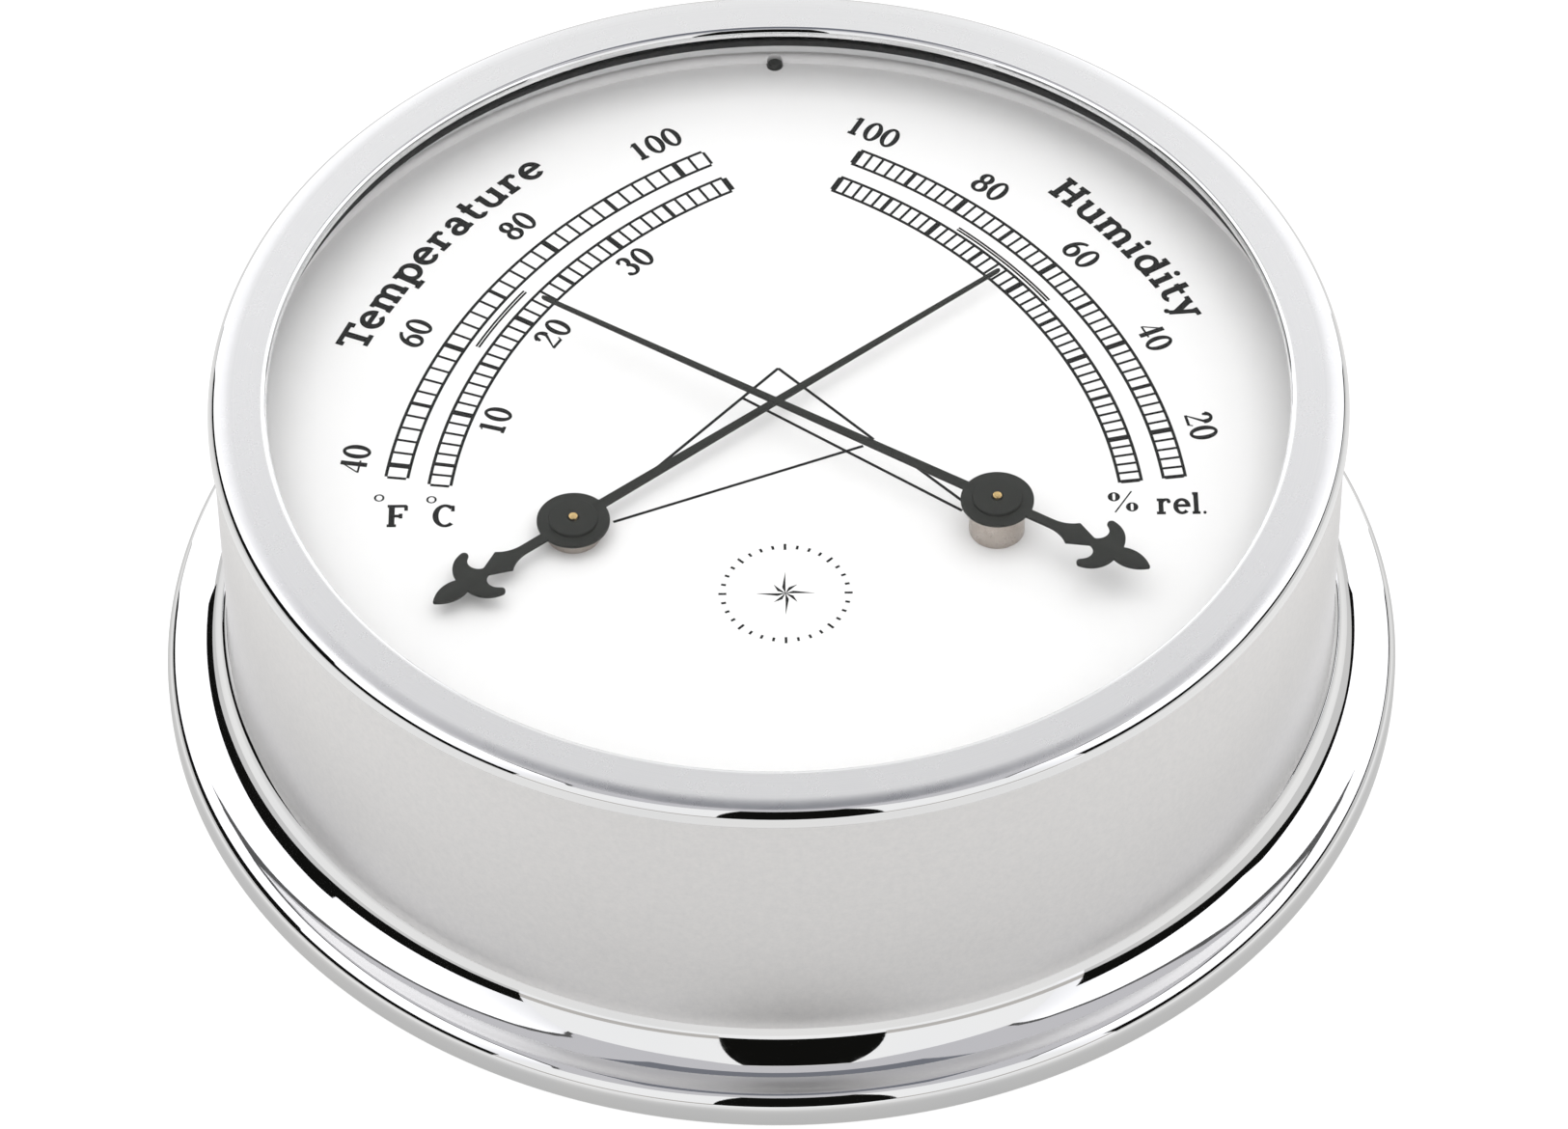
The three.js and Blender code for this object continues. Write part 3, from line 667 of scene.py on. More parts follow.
def line_width(value, medium, thick):
    if value % thick == 0:
        return THICK
    return MEDIUM if value % medium == 0 else HAIR


def band(printed, centre, radii, values, angles, steps, plain=()):
    """One scale: two arcs with a line for each division, from the first to the last value.
    Steps are those of all the lines, the medium ones and the thick ones. Plain values close the band."""
    (first, last), (low, high), (step, medium, thick) = values, angles, steps
    for radius in radii:
        printed.arc(centre, radius, BAND_LINE, low - BAND_OVERLAP, high + BAND_OVERLAP, 90)
    inner, outer = radii[0] + BAND_LINE / 2, radii[1] - BAND_LINE / 2
    count = round((last - first) / step)
    for k in range(count + 1):
        value = first + k * step
        angle = low + (high - low) * k / count
        width = BAND_LINE if value in plain else line_width(value, medium, thick)
        printed.line(polar(centre, inner, angle), polar(centre, outer, angle), width)


CELSIUS_ANGLES = (173.05, 118.35)
FAHRENHEIT_ANGLES = (172.5, 118.35)
HUMIDITY_ANGLES = (6.5, 61.35)
WARM_COMFORT_ANGLES = (144.4, 153.4)
WARM_COMFORT_RADII = (55.0, 55.3)
DAMP_COMFORT_ANGLES = (33.4, 47.2)
DAMP_COMFORT_RADII = (54.45, 54.75)
warm_pivot = axis_of("temperature_turn")
damp_pivot = axis_of("humidity_turn")

temperature_scale = Print()
band(temperature_scale, warm_pivot, OUTER_BAND, (38, 104), FAHRENHEIT_ANGLES, (2, 10, 20), (38, 104))
band(temperature_scale, warm_pivot, INNER_BAND, (3, 40), CELSIUS_ANGLES, (1, 5, 10), (3,))
for radius in WARM_COMFORT_RADII:
    temperature_scale.arc(warm_pivot, radius, COMFORT_ARC, *WARM_COMFORT_ANGLES, 20)
temperature_scale.finish("temperature_scale_print")

humidity_scale = Print()
for radii in (OUTER_BAND, INNER_BAND):
    band(humidity_scale, damp_pivot, radii, (10, 100), HUMIDITY_ANGLES, (2, 10, 20))
for radius in DAMP_COMFORT_RADII:
    humidity_scale.arc(damp_pivot, radius, COMFORT_ARC, *DAMP_COMFORT_ANGLES, 24)
humidity_scale.finish("humidity_scale_print")


# ---- Lettering: strokes in units of the capital height, x centred on the letter -----------
class Pen:
    """Draws letters on the dial, thick in their upright strokes and thin in their flat ones."""

    def __init__(self, printed, thick, thin):
        self.printed = printed
        self.thick = thick
        self.thin = thin

    def set(self, origin, degrees, size, widen=1.0):
        """Puts the letter's foot at origin, with its right side towards the given direction."""
        angle = math.radians(degrees)
        self.origin = origin
        self.right = (math.cos(angle) * size * widen, math.sin(angle) * size * widen)
        self.up = (-math.sin(angle) * size, math.cos(angle) * size)

    def spot(self, point):
        x, y = point
        return (self.origin[0] + self.right[0] * x + self.up[0] * y,
                self.origin[1] + self.right[1] * x + self.up[1] * y)

    def strip(self, left, right):
        self.printed.strip([self.spot(p) for p in left], [self.spot(p) for p in right])

    def bar(self, x0, y0, x1, y1, width=None, end_width=None):
        width = width or self.thick
        self.strip(*edges((x0, y0), (x1, y1), width, end_width or width))

    def flat(self, x0, x1, y):
        """A thin level stroke, such as a serif."""
        self.bar(x0, y, x1, y, self.thin)

    def bow(self, cx, cy, rx, ry, start, end):
        steps = max(6, round(abs(end - start) / 12))
        left, right = [], []
        for k in range(steps + 1):
            angle = math.radians(start + (end - start) * k / steps)
            c, s = math.cos(angle), math.sin(angle)
            half = (self.thin + (self.thick - self.thin) * c * c) / 2
            nx, ny = c / rx, s / ry
            length = math.hypot(nx, ny)
            nx, ny = nx / length * half, ny / length * half
            left.append((cx + rx * c + nx, cy + ry * s + ny))
            right.append((cx + rx * c - nx, cy + ry * s - ny))
        self.strip(left, right)

    def loop(self, cx, cy, rx, ry):
        self.bow(cx, cy, rx, ry, 80, 275)
        self.bow(cx, cy, rx, ry, 260, 455)

    def ball(self, x, y, radius):
        """A round dot, as a strip that leaves out its two end points."""
        upper = rounded(x, y, radius, 0, 180, 12)[1:-1]
        self.strip(upper, [(px, 2 * y - py) for px, py in upper])


X_HEIGHT = 0.74


def stem(pen, x, low, high, foot=0.17, head=0.0):
    """An upright with a slab at its foot and half a slab at its head."""
    pen.bar(x, low, x, high)
    if foot:
        pen.flat(x - foot, x + foot, low + pen.thin / 2)
    if head:
        pen.flat(x - head, x, high - pen.thin / 2)


def draw_0(pen):
    pen.loop(0, 0.5, 0.245, 0.475)


def draw_1(pen):
    pen.bar(0.02, 0, 0.02, 0.99)
    pen.bar(-0.17, 0.84, 0.0, 0.96, 0.05, 0.07)
    pen.flat(-0.15, 0.19, pen.thin / 2)


def draw_2(pen):
    pen.bow(-0.02, 0.715, 0.2, 0.26, 165, -12)
    pen.bar(0.18, 0.69, -0.25, 0.07, 0.12, 0.05)
    pen.bar(-0.28, 0.055, 0.26, 0.055, 0.11)
    pen.bar(0.24, 0.05, 0.3, 0.2, 0.05)
    pen.ball(-0.2, 0.74, 0.065)


def draw_3(pen):
    pen.bow(-0.02, 0.75, 0.18, 0.225, 150, -85)
    pen.bow(-0.03, 0.285, 0.23, 0.26, 88, -150)
    pen.ball(-0.18, 0.82, 0.055)
    pen.ball(-0.23, 0.17, 0.065)


def draw_4(pen):
    pen.bar(0.1, 0.97, -0.3, 0.3, 0.055)
    pen.bar(-0.32, 0.28, 0.3, 0.28, 0.075)
    pen.bar(0.11, 0, 0.11, 1.0)


def draw_6(pen):
    pen.loop(0.0, 0.31, 0.235, 0.285)
    pen.bow(0.27, 0.34, 0.505, 0.635, 180, 98)


def draw_8(pen):
    pen.loop(0, 0.755, 0.19, 0.22)
    pen.loop(0, 0.275, 0.235, 0.25)


def draw_T(pen):
    pen.flat(-0.42, 0.42, 1 - pen.thin / 2)
    for x in (-0.39, 0.39):
        pen.bar(x, 0.74, x, 1, pen.thin)
    stem(pen, 0, 0, 0.98, 0.23)


def draw_e(pen):
    pen.bow(0, X_HEIGHT / 2, 0.27, 0.315, -5, 318)
    pen.flat(-0.25, 0.27, 0.4)


def draw_m(pen):
    stem(pen, -0.42, 0, X_HEIGHT, 0.15, 0.17)
    for x in (-0.21, 0.21):
        pen.bow(x, 0.47, 0.21, 0.215, -5, 155)
    for x in (0.0, 0.42):
        stem(pen, x, 0, 0.5, 0.15)


def draw_p(pen):
    stem(pen, -0.22, -0.27, X_HEIGHT, 0.18, 0.18)
    pen.loop(0.06, 0.37, 0.26, 0.315)


def draw_r(pen):
    stem(pen, -0.12, 0, X_HEIGHT, 0.19, 0.17)
    pen.bow(0.1, 0.45, 0.22, 0.235, 165, 55)
    pen.ball(0.22, 0.6, 0.085)


def draw_a(pen):
    pen.loop(-0.05, 0.21, 0.21, 0.175)
    pen.bow(-0.02, 0.5, 0.2, 0.2, -5, 150)
    pen.bar(0.18, 0.06, 0.18, 0.52)
    pen.flat(0.16, 0.34, pen.thin / 2)
    pen.ball(-0.19, 0.57, 0.075)


def draw_t(pen):
    pen.bar(-0.06, 0.19, -0.06, 0.98)
    pen.flat(-0.22, 0.2, X_HEIGHT - pen.thin / 2)
    pen.bow(0.1, 0.21, 0.16, 0.165, 180, 325)


def draw_u(pen):
    pen.bar(-0.24, 0.27, -0.24, X_HEIGHT)
    pen.flat(-0.4, -0.24, X_HEIGHT - pen.thin / 2)
    pen.bow(0.0, 0.28, 0.24, 0.235, 178, 362)
    stem(pen, 0.24, 0, X_HEIGHT, 0, 0.16)
    pen.flat(0.24, 0.4, pen.thin / 2)


def draw_H(pen):
    for x in (-0.27, 0.27):
        stem(pen, x, 0, 1.0, 0.18)
        pen.flat(x - 0.18, x + 0.18, 1 - pen.thin / 2)
    pen.flat(-0.27, 0.27, 0.52)


def draw_i(pen):
    stem(pen, 0, 0, X_HEIGHT, 0.2, 0.18)
    pen.ball(0, 0.95, 0.1)


def draw_d(pen):
    pen.loop(-0.06, 0.37, 0.26, 0.315)
    stem(pen, 0.22, 0, 1.02, 0, 0.18)
    pen.flat(0.22, 0.38, pen.thin / 2)


def draw_y(pen):
    pen.bar(-0.26, X_HEIGHT - 0.03, 0.02, 0.05)
    pen.bar(0.26, X_HEIGHT - 0.03, -0.06, -0.17, pen.thin)
    for x in (-0.26, 0.26):
        pen.flat(x - 0.15, x + 0.15, X_HEIGHT - pen.thin / 2)
    pen.ball(-0.14, -0.2, 0.09)


def draw_l(pen):
    stem(pen, 0, 0, 1.02, 0.17, 0.15)


def draw_F(pen):
    stem(pen, -0.17, 0, 0.98, 0.16)
    pen.flat(-0.32, 0.34, 0.975)
    pen.bar(0.32, 0.76, 0.32, 0.99, pen.thin)
    pen.flat(-0.17, 0.15, 0.51)
    pen.bar(0.14, 0.4, 0.14, 0.62, pen.thin)


def draw_C(pen):
    pen.bow(0.03, 0.5, 0.33, 0.475, 48, 312)
    pen.bar(0.29, 0.7, 0.29, 0.97, pen.thin)


def draw_percent(pen):
    pen.loop(-0.28, 0.75, 0.12, 0.2)
    pen.loop(0.28, 0.24, 0.12, 0.2)
    pen.bar(-0.26, -0.02, 0.28, 1.02, pen.thin)


def draw_degree(pen):
    pen.loop(0, 0.5, 0.42, 0.42)


def draw_stop(pen):
    pen.ball(0, 0.07, 0.07)


GLYPHS = {
    "0": (draw_0, 0.73), "1": (draw_1, 0.73), "2": (draw_2, 0.73), "3": (draw_3, 0.73), "4": (draw_4, 0.73),
    "6": (draw_6, 0.73), "8": (draw_8, 0.73), "T": (draw_T, 0.86), "e": (draw_e, 0.80), "m": (draw_m, 1.31),
    "p": (draw_p, 0.94), "r": (draw_r, 0.76), "a": (draw_a, 0.82), "t": (draw_t, 0.62), "u": (draw_u, 0.96),
    "H": (draw_H, 1.04), "i": (draw_i, 0.54), "d": (draw_d, 0.94), "y": (draw_y, 0.92), "l": (draw_l, 0.42),
    "F": (draw_F, 0.8), "C": (draw_C, 0.9), "%": (draw_percent, 1.0), "*": (draw_degree, 0.4),
    ".": (draw_stop, 0.3),
}


def straight_text(pen, text, centre, degrees, size, widen=1.0):
    """Text on a straight line, its middle at centre."""
    angle = math.radians(degrees)
    right = (math.cos(angle), math.sin(angle))
    up = (-right[1], right[0])
    along = -sum(GLYPHS[c][1] for c in text) * size * widen / 2
    for c in text:
        draw, wide = GLYPHS[c]
        half = wide * size * widen / 2
        along += half
        foot = (centre[0] + right[0] * along - up[0] * size / 2,
                centre[1] + right[1] * along - up[1] * size / 2)
        pen.set(foot, degrees, size, widen)
        draw(pen)
        along += half


def arc_text(pen, text, centre, radius, first, last, size, widen):
    """Text that reads clockwise on an arc; first and last are the angles of its end letters' middles."""
    widths = [GLYPHS[c][1] for c in text]
    middles = [sum(widths[:k]) + widths[k] / 2 for k in range(len(text))]
    span = middles[-1] - middles[0]
    for c, middle in zip(text, middles):
        angle = first + (last - first) * (middle - middles[0]) / span
        pen.set(polar(centre, radius, angle), angle - 90, size, widen)
        GLYPHS[c][0](pen)


DIGIT_SIZE = 2.55
FAHRENHEIT_DIGITS_R = 61.5
CELSIUS_DIGITS_R = 49.7
HUMIDITY_DIGITS_R = 61.05
UNITS_SIZE = 2.75
UNITS_Y = -10.0
DEGREE_SIZE = 0.95
PERCENT_SIZE = 2.6
numerals = Print()
pen = Pen(numerals, thick=0.205, thin=0.125)
for pivot, radius, marks in (
    (warm_pivot, FAHRENHEIT_DIGITS_R, (("40", 170.6), ("60", 154.3), ("80", 138.0), ("100", 121.7))),
    (warm_pivot, CELSIUS_DIGITS_R, (("10", 162.7), ("20", 147.9), ("30", 133.5))),
    (damp_pivot, HUMIDITY_DIGITS_R, (("100", 61.6), ("80", 48.55), ("60", 36.6), ("40", 24.2), ("20", 12.4))),
):
    for text, angle in marks:
        straight_text(pen, text, polar(pivot, radius, angle), angle - 90, DIGIT_SIZE)
for letter, x in (("F", -36.15), ("C", -31.65)):
    straight_text(pen, letter, (x, UNITS_Y), 0, UNITS_SIZE)
for x, y in ((-37.85, -7.6), (-32.9, -7.9)):
    straight_text(pen, "*", (x, y), 0, DEGREE_SIZE)
straight_text(Pen(numerals, thick=0.15, thin=0.05), "%", (32.4, -9.2), 0, PERCENT_SIZE, widen=1.15)
straight_text(pen, "rel.", (37.9, -9.5), 0, UNITS_SIZE, widen=0.8)
numerals.finish("numerals_print", united=True)

TITLE_SIZE = 3.05
TITLE_WIDENED = 1.1
WARM_TITLE_R = 64.9
DAMP_TITLE_R = 64.3
titles = Print()
pen = Pen(titles, thick=0.205, thin=0.165)
arc_text(pen, "Temperature", warm_pivot, WARM_TITLE_R, 156.75, 132.4, TITLE_SIZE, TITLE_WIDENED)
arc_text(pen, "Humidity", damp_pivot, DAMP_TITLE_R, 43.0, 26.1, TITLE_SIZE, TITLE_WIDENED)
titles.finish("titles_print", united=True)

# ---- Comfort lines and compass star -------------------------------------------------------
comfort = Print()
for path in (
    ((-13.7, -6.4), (0.0, 8.85), (9.0, -0.7)),
    ((-3.5, 5.0), (17.2, -10.1)),
    ((-15.7, -11.05), (8.0, -1.55)),
    ((13.0, -4.4), (17.2, -8.8)),
):
    for start, end in zip(path, path[1:]):
        comfort.line(start, end, COMFORT_LINE)
comfort.finish("comfort_lines_print", united=True)

STAR_CENTRE = (0.45, -20.4)
STAR_STEP = 45
TICKS = 32
STAR_WAIST = 0.8
STAR_LONG = 2.7
STAR_SHORT = 1.55
TICKS_R = 5.9
TICK_LONG = 0.75
TICK_SHORT = 0.45
TICK_WIDTH = 0.24
star = Print()
for k in range(8):
    reach = STAR_LONG if k % 2 == 0 else STAR_SHORT
    heading = 90 + STAR_STEP * k
    tip = polar(STAR_CENTRE, reach, heading)
    corner = polar(STAR_CENTRE, STAR_WAIST, heading + STAR_STEP / 2)
    inner = polar(STAR_CENTRE, STAR_WAIST, heading)
    star.strip([STAR_CENTRE, inner], [corner, tip])
for k in range(TICKS):
    angle = 90 + 360 * k / TICKS
    half = (TICK_LONG if k % 4 == 0 else TICK_SHORT) / 2
    ends = [polar(STAR_CENTRE, radius, angle) for radius in (TICKS_R - half, TICKS_R + half)]
    star.line(*ends, TICK_WIDTH)
star.finish("compass_star_print")


# ---- Hands --------------------------------------------------------------------------------
HAND_TAIL = 16.5
HUB_R = 3.45
BOSS_R = 2.35
NECK = 0.5
BORE_R = 0.5
HAND_EDGE = 0.06
SMALL_ROUND = 0.12
SMALL_CHAMFER = 0.1
ARBOR_R = 0.45
BUSH_R = 1.6
BUSH_BORE_R = 0.7
COLLAR_R = 2.62


def bezier(points, steps=10):
    """Points on a quadratic or cubic curve, without its first point."""
    made = []
    for k in range(1, steps + 1):
        t = k / steps
        row = list(points)
        while len(row) > 1:
            row = [((1 - t) * a[0] + t * b[0], (1 - t) * a[1] + t * b[1]) for a, b in zip(row, row[1:])]
        made.append(row[0])
    return made


def hand_outline(length):
    meet = math.degrees(math.asin(NECK / HUB_R))
    upper = [(length, 0.1), (length - 0.3, 0.2)]
    upper += rounded(0, 0, HUB_R, meet, 180 - meet, 36)
    upper += [(-5.9, NECK)]
    upper += bezier([(-5.9, NECK), (-7.3, 0.55), (-8.2, 1.4)])
    upper += [(-10.3, 0.45)]
    upper += bezier([(-10.3, 0.45), (-11.0, 0.6), (-11.7, 1.8), (-10.4, 2.6)])
    upper += bezier([(-10.4, 2.6), (-10.2, 3.1), (-10.7, 3.25)])
    upper += bezier([(-10.7, 3.25), (-12.1, 3.1), (-13.0, 2.1), (-13.15, 0.85)])
    upper += bezier([(-13.15, 0.85), (-14.3, 1.3), (-15.6, 0.95), (-HAND_TAIL, 0.08)])
    return upper + [(x, -y) for x, y in reversed(upper)]


def turned_mesh(mesh, degrees):
    mesh.transform(Matrix.Rotation(math.radians(degrees), 4, "Z"))
    return mesh


def movement_parts(movement, hand_angle, hand_length):
    body = movement + "_pointer"
    at = axis_of(movement + "_turn")
    top = high_z(movement + "_hand")
    boss_top = high_z(movement + "_hub")
    tip = high_z(movement + "_arbor")
    arbor_bottom = low_z(movement + "_arbor")
    bush_top = high_z(movement + "_bush")
    bush_bottom = low_z(movement + "_bush")

    outlines = [hand_outline(hand_length), circle(BORE_R, steps=32)]
    blade = turned_mesh(plate(outlines, low_z(movement + "_hand"), top, HAND_EDGE), hand_angle)
    finished(movement + "_hand_blade", blade, body, [LACQUER], [movement + "_hand"], at)
    finished(movement + "_hub_boss", lathe([
        (BORE_R, top),
        (BOSS_R, top),
        *rounded(BOSS_R - SMALL_ROUND, boss_top - SMALL_ROUND, SMALL_ROUND, 0, 90, 5),
        (BORE_R + SMALL_CHAMFER, boss_top),
        (BORE_R, boss_top - SMALL_CHAMFER),
    ], 96), body, [LACQUER], [movement + "_hub"], at)
    finished(movement + "_arbor_turned", lathe([
        (0, arbor_bottom),
        (ARBOR_R, arbor_bottom + 0.4),
        *rounded(ARBOR_R - SMALL_ROUND, tip - SMALL_ROUND, SMALL_ROUND, 0, 90, 4),
        (0, tip),
    ], 40, supports=False), body, [BRASS], [movement + "_arbor"], at)
    finished(movement + "_bush_turned", lathe([
        (BUSH_BORE_R, bush_bottom),
        (BUSH_R - SMALL_CHAMFER, bush_bottom),
        (BUSH_R, bush_bottom + SMALL_CHAMFER),
        (BUSH_R, DIAL_Z),
        (COLLAR_R - 0.08, DIAL_Z),
        (COLLAR_R, DIAL_Z + 0.08),
        *rounded(COLLAR_R - SMALL_ROUND, bush_top - SMALL_ROUND, SMALL_ROUND, 0, 90, 5),
        (BUSH_BORE_R, bush_top),
    ], 96), "case", [NICKEL], [movement + "_bush"], at)


movement_parts("temperature", hand_angle=147.5, hand_length=51.0)
movement_parts("humidity", hand_angle=38.5, hand_length=52.3)

# ---- Back ---------------------------------------------------------------------------------
BACK_R = radius_of("back_plate")
BACK_LOW = low_z("back_plate")
KEYHOLE = (0.0, 33.0)
KEYHOLE_R = 5.0
SLOT_HALF = 2.5
SLOT_END = 42.0
VENT_CENTRE = (0.0, -24.0)
VENT_RING = 8.0
VENT_R = 1.6
ACCESS_R = 2.25
SCREW_HOLE_R = 0.9
SCREW_HEAD_R = 1.4
SCREW_SHANK_R = 0.6
SCREW_ROUND = 0.5
SLOT_WIDTH = 0.4
SLOT_DEPTH = 0.4
PLATE_EDGE = 0.12
SCREWS = [f"back_screw_{k}" for k in range(1, 5)]


def keyhole_outline():
    start = math.degrees(math.asin(SLOT_HALF / KEYHOLE_R))
    entry = rounded(*KEYHOLE, KEYHOLE_R, 90 + start, 450 - start, 48)
    return entry + rounded(0.0, SLOT_END, SLOT_HALF, 0, 180, 20)


back_outlines = [circle(BACK_R, steps=TURNS), keyhole_outline(), circle(VENT_R, *VENT_CENTRE, 32)]
back_outlines += [circle(VENT_R, *polar(VENT_CENTRE, VENT_RING, 45 * k), 32) for k in range(8)]
back_outlines += [circle(ACCESS_R, *axis_of(movement + "_adjust"), 40) for movement in MOVEMENTS]
back_outlines += [circle(SCREW_HOLE_R, *middle_of(node), 32) for node in SCREWS]
finished("back_plate_pressed", plate(back_outlines, BACK_LOW, RECESS_Z, PLATE_EDGE), "case",
         [STEEL], ["back_plate"])

for k, node in enumerate(SCREWS):
    head = low_z(node)
    screw = lathe([
        (0, head),
        (0.7, head + 0.02),
        *rounded(SCREW_HEAD_R - SCREW_ROUND, head + SCREW_ROUND + 0.02, SCREW_ROUND, -85, 0, 6),
        (SCREW_HEAD_R, BACK_LOW),
        (SCREW_SHANK_R, BACK_LOW),
        (SCREW_SHANK_R, high_z(node)),
        (0, high_z(node)),
    ], 48, supports=False)
    slot = box_mesh(-3, 3, -SLOT_WIDTH / 2, SLOT_WIDTH / 2, head - 1, head + SLOT_DEPTH)
    cut = turned_mesh(carved(screw, slot), 20 + 50 * k)
    finished(f"slotted_screw_{k + 1}", cut, "case", [STEEL], [node], middle_of(node))

# ---- Finishes of the CAD pieces that stay -------------------------------------------------
STAYING = {"glass_snap_ring": STEEL, "vent_gauze": GAUZE, "temperature_coil": BIMETAL, "humidity_coil": FOIL}
IN_BOTH_MOVEMENTS = {
    "bush_nut": BRASS, "coil_collet": BRASS, "bracket": BRASS, "rear_bush": NICKEL, "regulator": STEEL,
    "coil_post": BRASS, "adjuster": BRASS,
}
for movement in MOVEMENTS:
    STAYING.update({f"{movement}_{part}": made for part, made in IN_BOTH_MOVEMENTS.items()})
for node, made in STAYING.items():
    slots = frame["nodes"][node].material_slots
    if slots:
        slots[0].material = made
    else:
        frame["nodes"][node].data.materials.append(made)

# ---- Studio, in metres --------------------------------------------------------------------
PANEL_ROWS = 12
PANEL_STEP = 3
FLOOR_HALF = 12.0
TABLE_HALF = 4.0
TABLE_Z = -0.0004
# Levels of the painted light on the table as mirrors see it: front, sides and back.
TABLE_FRONT_LIGHT = 0.92
TABLE_SIDE_LIGHT = 0.98
TABLE_BACK_LIGHT = 0.85


def floor_material():
    made = Finish("pale_floor", Specular_IOR_Level=0.0, Roughness=0.9, Emission_Color=(1, 1, 1, 1),
                  Emission_Strength=0.72)
    return made.done(made.tint(made.noise(40, 4), (0.335, 0.335, 0.335), (0.35, 0.35, 0.35)))


def glow(name, colour, strength):
    return Finish(name).glowing(colour, strength)


def for_mirrors_only(card):
    for seen in ("visible_camera", "visible_diffuse", "visible_shadow", "visible_transmission",
                 "visible_volume_scatter"):
        setattr(card, seen, False)


def at_azimuth(outline, azimuth):
    """The low and high elevation of a panel's outline at an azimuth."""
    for (a0, low0, high0), (a1, low1, high1) in zip(outline, outline[1:]):
        if azimuth <= a1:
            share = (azimuth - a0) / (a1 - a0)
            return low0 + (low1 - low0) * share, high0 + (high1 - high0) * share
    return outline[-1][1:]


def panel(name, outline, distance, made):
    """A studio panel on a sphere about the object, from (azimuth, low, high) points in degrees.
    Azimuth 0 is -Y, and it grows towards +X."""
    first, last = outline[0][0], outline[-1][0]
    columns = max(2, round((last - first) / PANEL_STEP))
    rows = PANEL_ROWS
    vertices, faces = [], []
    for k in range(columns + 1):
        azimuth = first + (last - first) * k / columns
        low, high = at_azimuth(outline, azimuth)
        turn = math.radians(azimuth)
        for j in range(rows + 1):
            elevation = math.radians(low + (high - low) * j / rows)
            flat = distance * math.cos(elevation)
            vertices.append((flat * math.sin(turn), -flat * math.cos(turn), distance * math.sin(elevation)))
    for k in range(columns):
        for j in range(rows):
            corner = k * (rows + 1) + j
            faces.append((corner, corner + rows + 1, corner + rows + 2, corner + 1))
    for_mirrors_only(surface(name, vertices, faces, made))


def surface(name, vertices, faces, made):
    mesh = mesh_from(name, vertices, faces)
    mesh.materials.append(made)
    return placed(name, mesh)


def sheet(name, half_x, front, back, z, made):
    """A level rectangle, from y = front to y = back."""
    corners = [(-half_x, front, z), (half_x, front, z), (half_x, back, z), (-half_x, back, z)]
    return surface(name, corners, [(0, 1, 2, 3)], made)


def table_glow():
    """What mirrors see of the table: a glowing card with painted light, brightest at the sides and dimmer
    behind it, and a painted contact shadow that dims it near the case.
    """
    made = Finish("table_glow")
    # Painted contact shadow: the card glows dimmer within a few millimetres of the case's foot.
    near = made.span(made.vector("LENGTH", made.place), 0.64, 1.0, 0.0605, 0.074)
    heading = made.parts(made.vector("NORMALIZE", made.place))
    # Painted light: the card glows brighter towards the sides and dimmer behind the case.
    sideways = made.maths("POWER", heading["X"], 2.0)
    sides = made.span(sideways, TABLE_FRONT_LIGHT, TABLE_SIDE_LIGHT, 0.1, 0.95)
    behind = made.span(heading["Y"], 1.0, TABLE_BACK_LIGHT, 0.1, 0.9)
    level = made.maths("MULTIPLY", made.maths("MULTIPLY", sides, behind), near)
    return made.glowing((1.0, 0.995, 0.985), level)


def side_glow():
    """Soft boxes that fade towards the front."""
    made = Finish("bright_panel")
    flat = made.vector("MULTIPLY", made.place, (1, 1, 0))
    heading = made.parts(made.vector("NORMALIZE", flat))
    sideways = made.maths("POWER", heading["X"], 2.0)
    reach = made.maths("MAXIMUM", sideways, made.maths("ADD", heading["Y"], 0.5))
    return made.glowing((0.98, 0.98, 1.0), made.span(reach, 1.05, 1.5, 0.48, 0.82))


floor = sheet("floor", FLOOR_HALF, -FLOOR_HALF, FLOOR_HALF, 0, floor_material())
floor.visible_glossy = False
# The table in mirrors glows with painted light and carries a painted contact shadow near the case.
for_mirrors_only(sheet("table_in_mirrors", TABLE_HALF, -TABLE_HALF, TABLE_HALF, TABLE_Z, table_glow()))

DARK = glow("dark_panel", (1, 1, 0.9), 0.006)
FRAME = glow("frame_panel", (1, 1, 1), 0.12)
BRIGHT = side_glow()
OVERHEAD = glow("overhead_panel", (0.97, 0.96, 1.0), 0.66)
SWEEP = glow("sweep_panel", (1.0, 0.995, 0.985), 0.70)
PATCH = glow("patch_panel", (0.92, 0.96, 1.1), 0.22)
HORIZON = glow("horizon_panel", (1.0, 0.96, 0.92), 0.58)

FRONT_CARD = (-11.0, 16.5)
panel("front_card", [(a, 8, 66) for a in FRONT_CARD], 0.98, DARK)
panel("horizon_left", [(-45, 5, 12), (FRONT_CARD[0], 5, 12)], 1.0, HORIZON)
panel("horizon_right", [(FRONT_CARD[1], 5, 12), (51, 6, 13)], 1.0, HORIZON)
panel("band_left", [(-135, 4, 17), (-120, 10, 24.5), (-105, 10, 30), (-91, 9.5, 32), (-87, 9, 31),
                    (-85, 8, 24.5), (-70, 5.5, 23), (-45, 4.5, 20.5)], 1.0, DARK)
panel("band_right", [(51, 6, 25), (65, 9, 25.5), (80, 12.5, 25), (88, 14.5, 24), (91, 15.5, 28),
                     (105, 17, 24.5), (120, 15, 19.5), (134, 7, 15)], 1.0, DARK)
panel("sweep_left", [(-140, -1, 8), (-120, -1, 11), (-90, -1, 10), (-45, -1, 5)], 1.02, SWEEP)
panel("sweep_right", [(51, -1, 6), (65, -1, 10), (90, -1, 16), (105, -1, 18), (120, -1, 16), (140, -1, 8)],
      1.02, SWEEP)
left_top = [(-170, 48), (-150, 55), (-130, 60), (-110, 64), (-90, 65.5), (-75, 65.5), (-60, 62.5), (-50, 58),
            (-44, 50)]
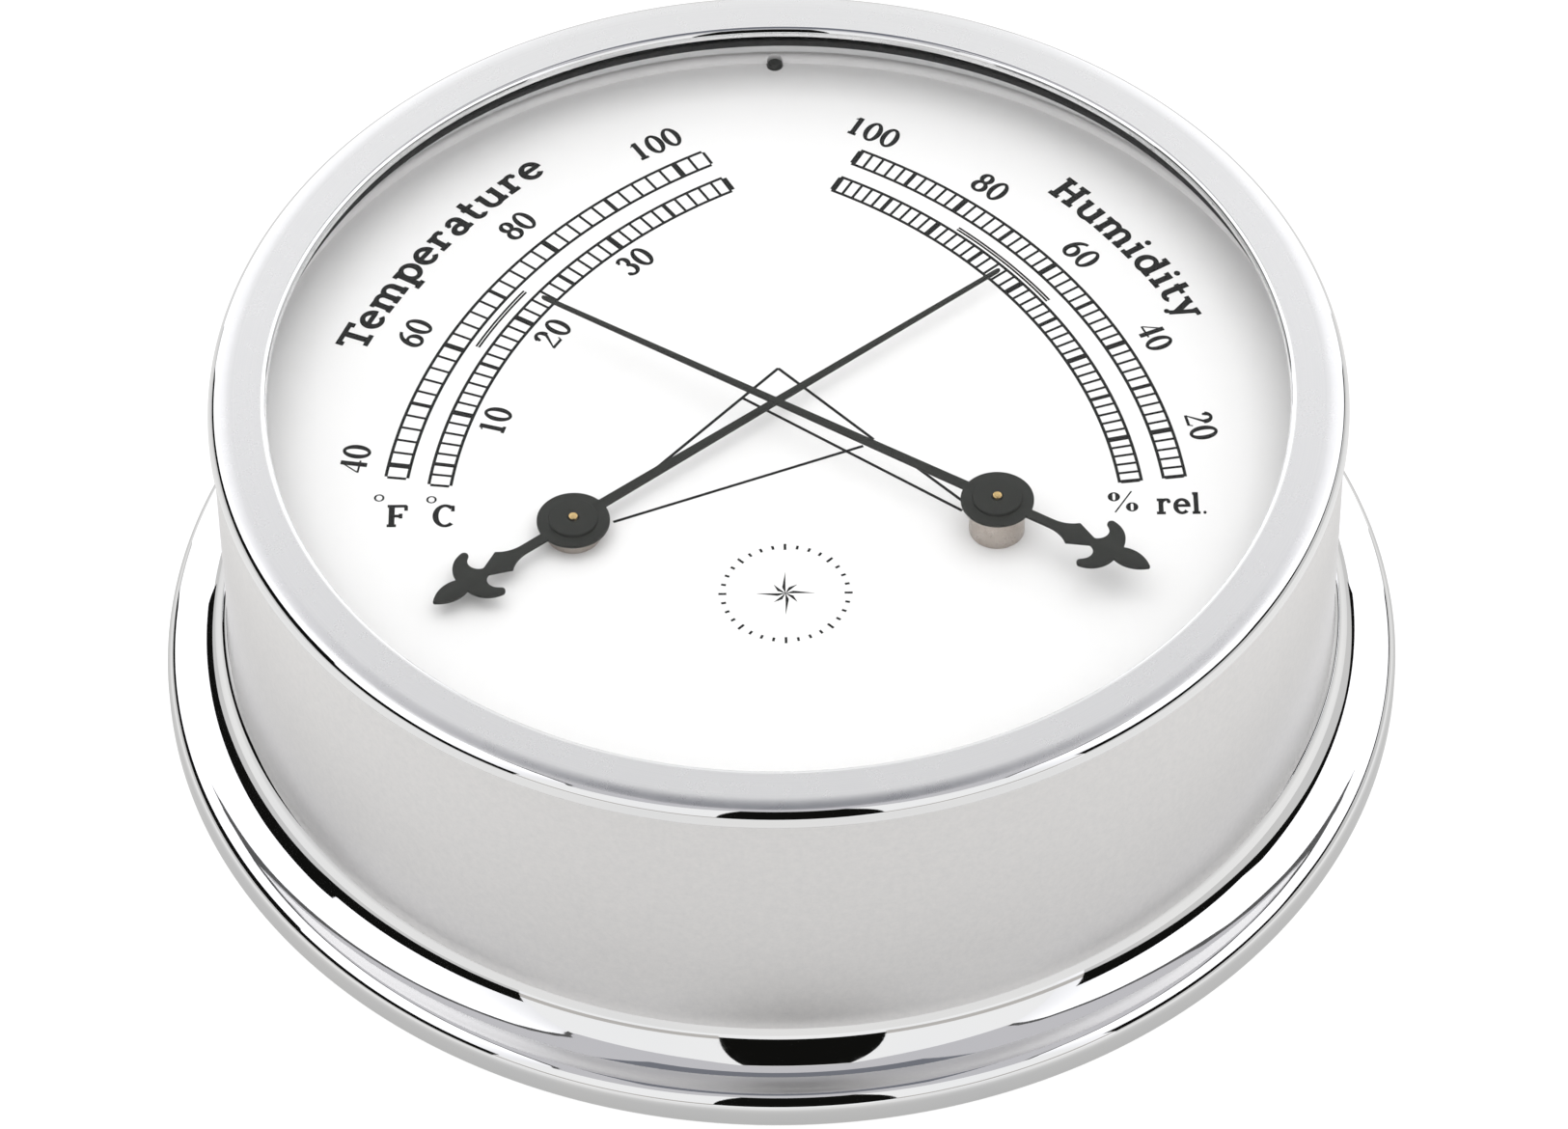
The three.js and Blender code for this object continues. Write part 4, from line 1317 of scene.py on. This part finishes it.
right_top = [(46, 50), (52, 55), (60, 58.5), (80, 60.5), (100, 60.5), (130, 59.5), (150, 55), (170, 48)]
for name, top in (("left", left_top), ("right", right_top)):
    panel("soft_" + name, [(a, 0, high) for a, high in top], 1.04, BRIGHT)
    panel("soft_frame_" + name, [(a, high, high + 2.2) for a, high in top], 1.0, FRAME)
middle_top = [(-20, 60), (FRONT_CARD[0], 67), (FRONT_CARD[1], 67), (25, 60)]
roof = [(-180, 70), *left_top, *middle_top, *right_top, (180, 70)]
panel("overhead", [(a, low, 90) for a, low in roof], 1.01, OVERHEAD)

for_mirrors_only(sheet("ceiling_patch", half_x=0.17, front=-0.13, back=0.44, z=0.85, made=PATCH))

world = bpy.data.worlds.new("studio")
SCENE.world = world
world.use_nodes = True
sky = world.node_tree.nodes["Background"]
sky.inputs["Color"].default_value = (1, 1, 1, 1)
sky.inputs["Strength"].default_value = 1.05

LAMP_PLACE = Vector((0.0, -0.15, 1.3))
lamp = bpy.data.lights.new("soft_box", "AREA")
lamp.shape = "RECTANGLE"
lamp.size = 1.6
lamp.size_y = 1.4
lamp.energy = 10.2
lamp_holder = placed("soft_box", lamp)
lamp_holder.location = LAMP_PLACE
lamp_holder.rotation_euler = (-LAMP_PLACE).to_track_quat("-Z", "Y").to_euler()
lamp_holder.visible_glossy = False

# ---- Camera -------------------------------------------------------------------------------
ELEVATION = math.radians(47.36)
DISTANCE = 0.737
ROLL = -0.0116
AIM = Vector((0.34, -7.53, 20.0)) * MM
LENS = 177.2

back = Vector((0, -math.cos(ELEVATION), math.sin(ELEVATION)))
right = Vector((1, 0, 0))
up = back.cross(right)
side = right * math.cos(ROLL) + up * math.sin(ROLL)
head = up * math.cos(ROLL) - right * math.sin(ROLL)
camera_data = bpy.data.cameras.new("camera")
camera_data.lens = LENS
camera_data.sensor_width = 36.0
camera_data.clip_start = 0.01
camera = placed("camera", camera_data)
turn = Matrix((side, head, back)).transposed().to_4x4()
camera.matrix_world = Matrix.Translation(AIM + back * DISTANCE) @ turn
SCENE.camera = camera

SCENE.view_settings.view_transform = "Standard"
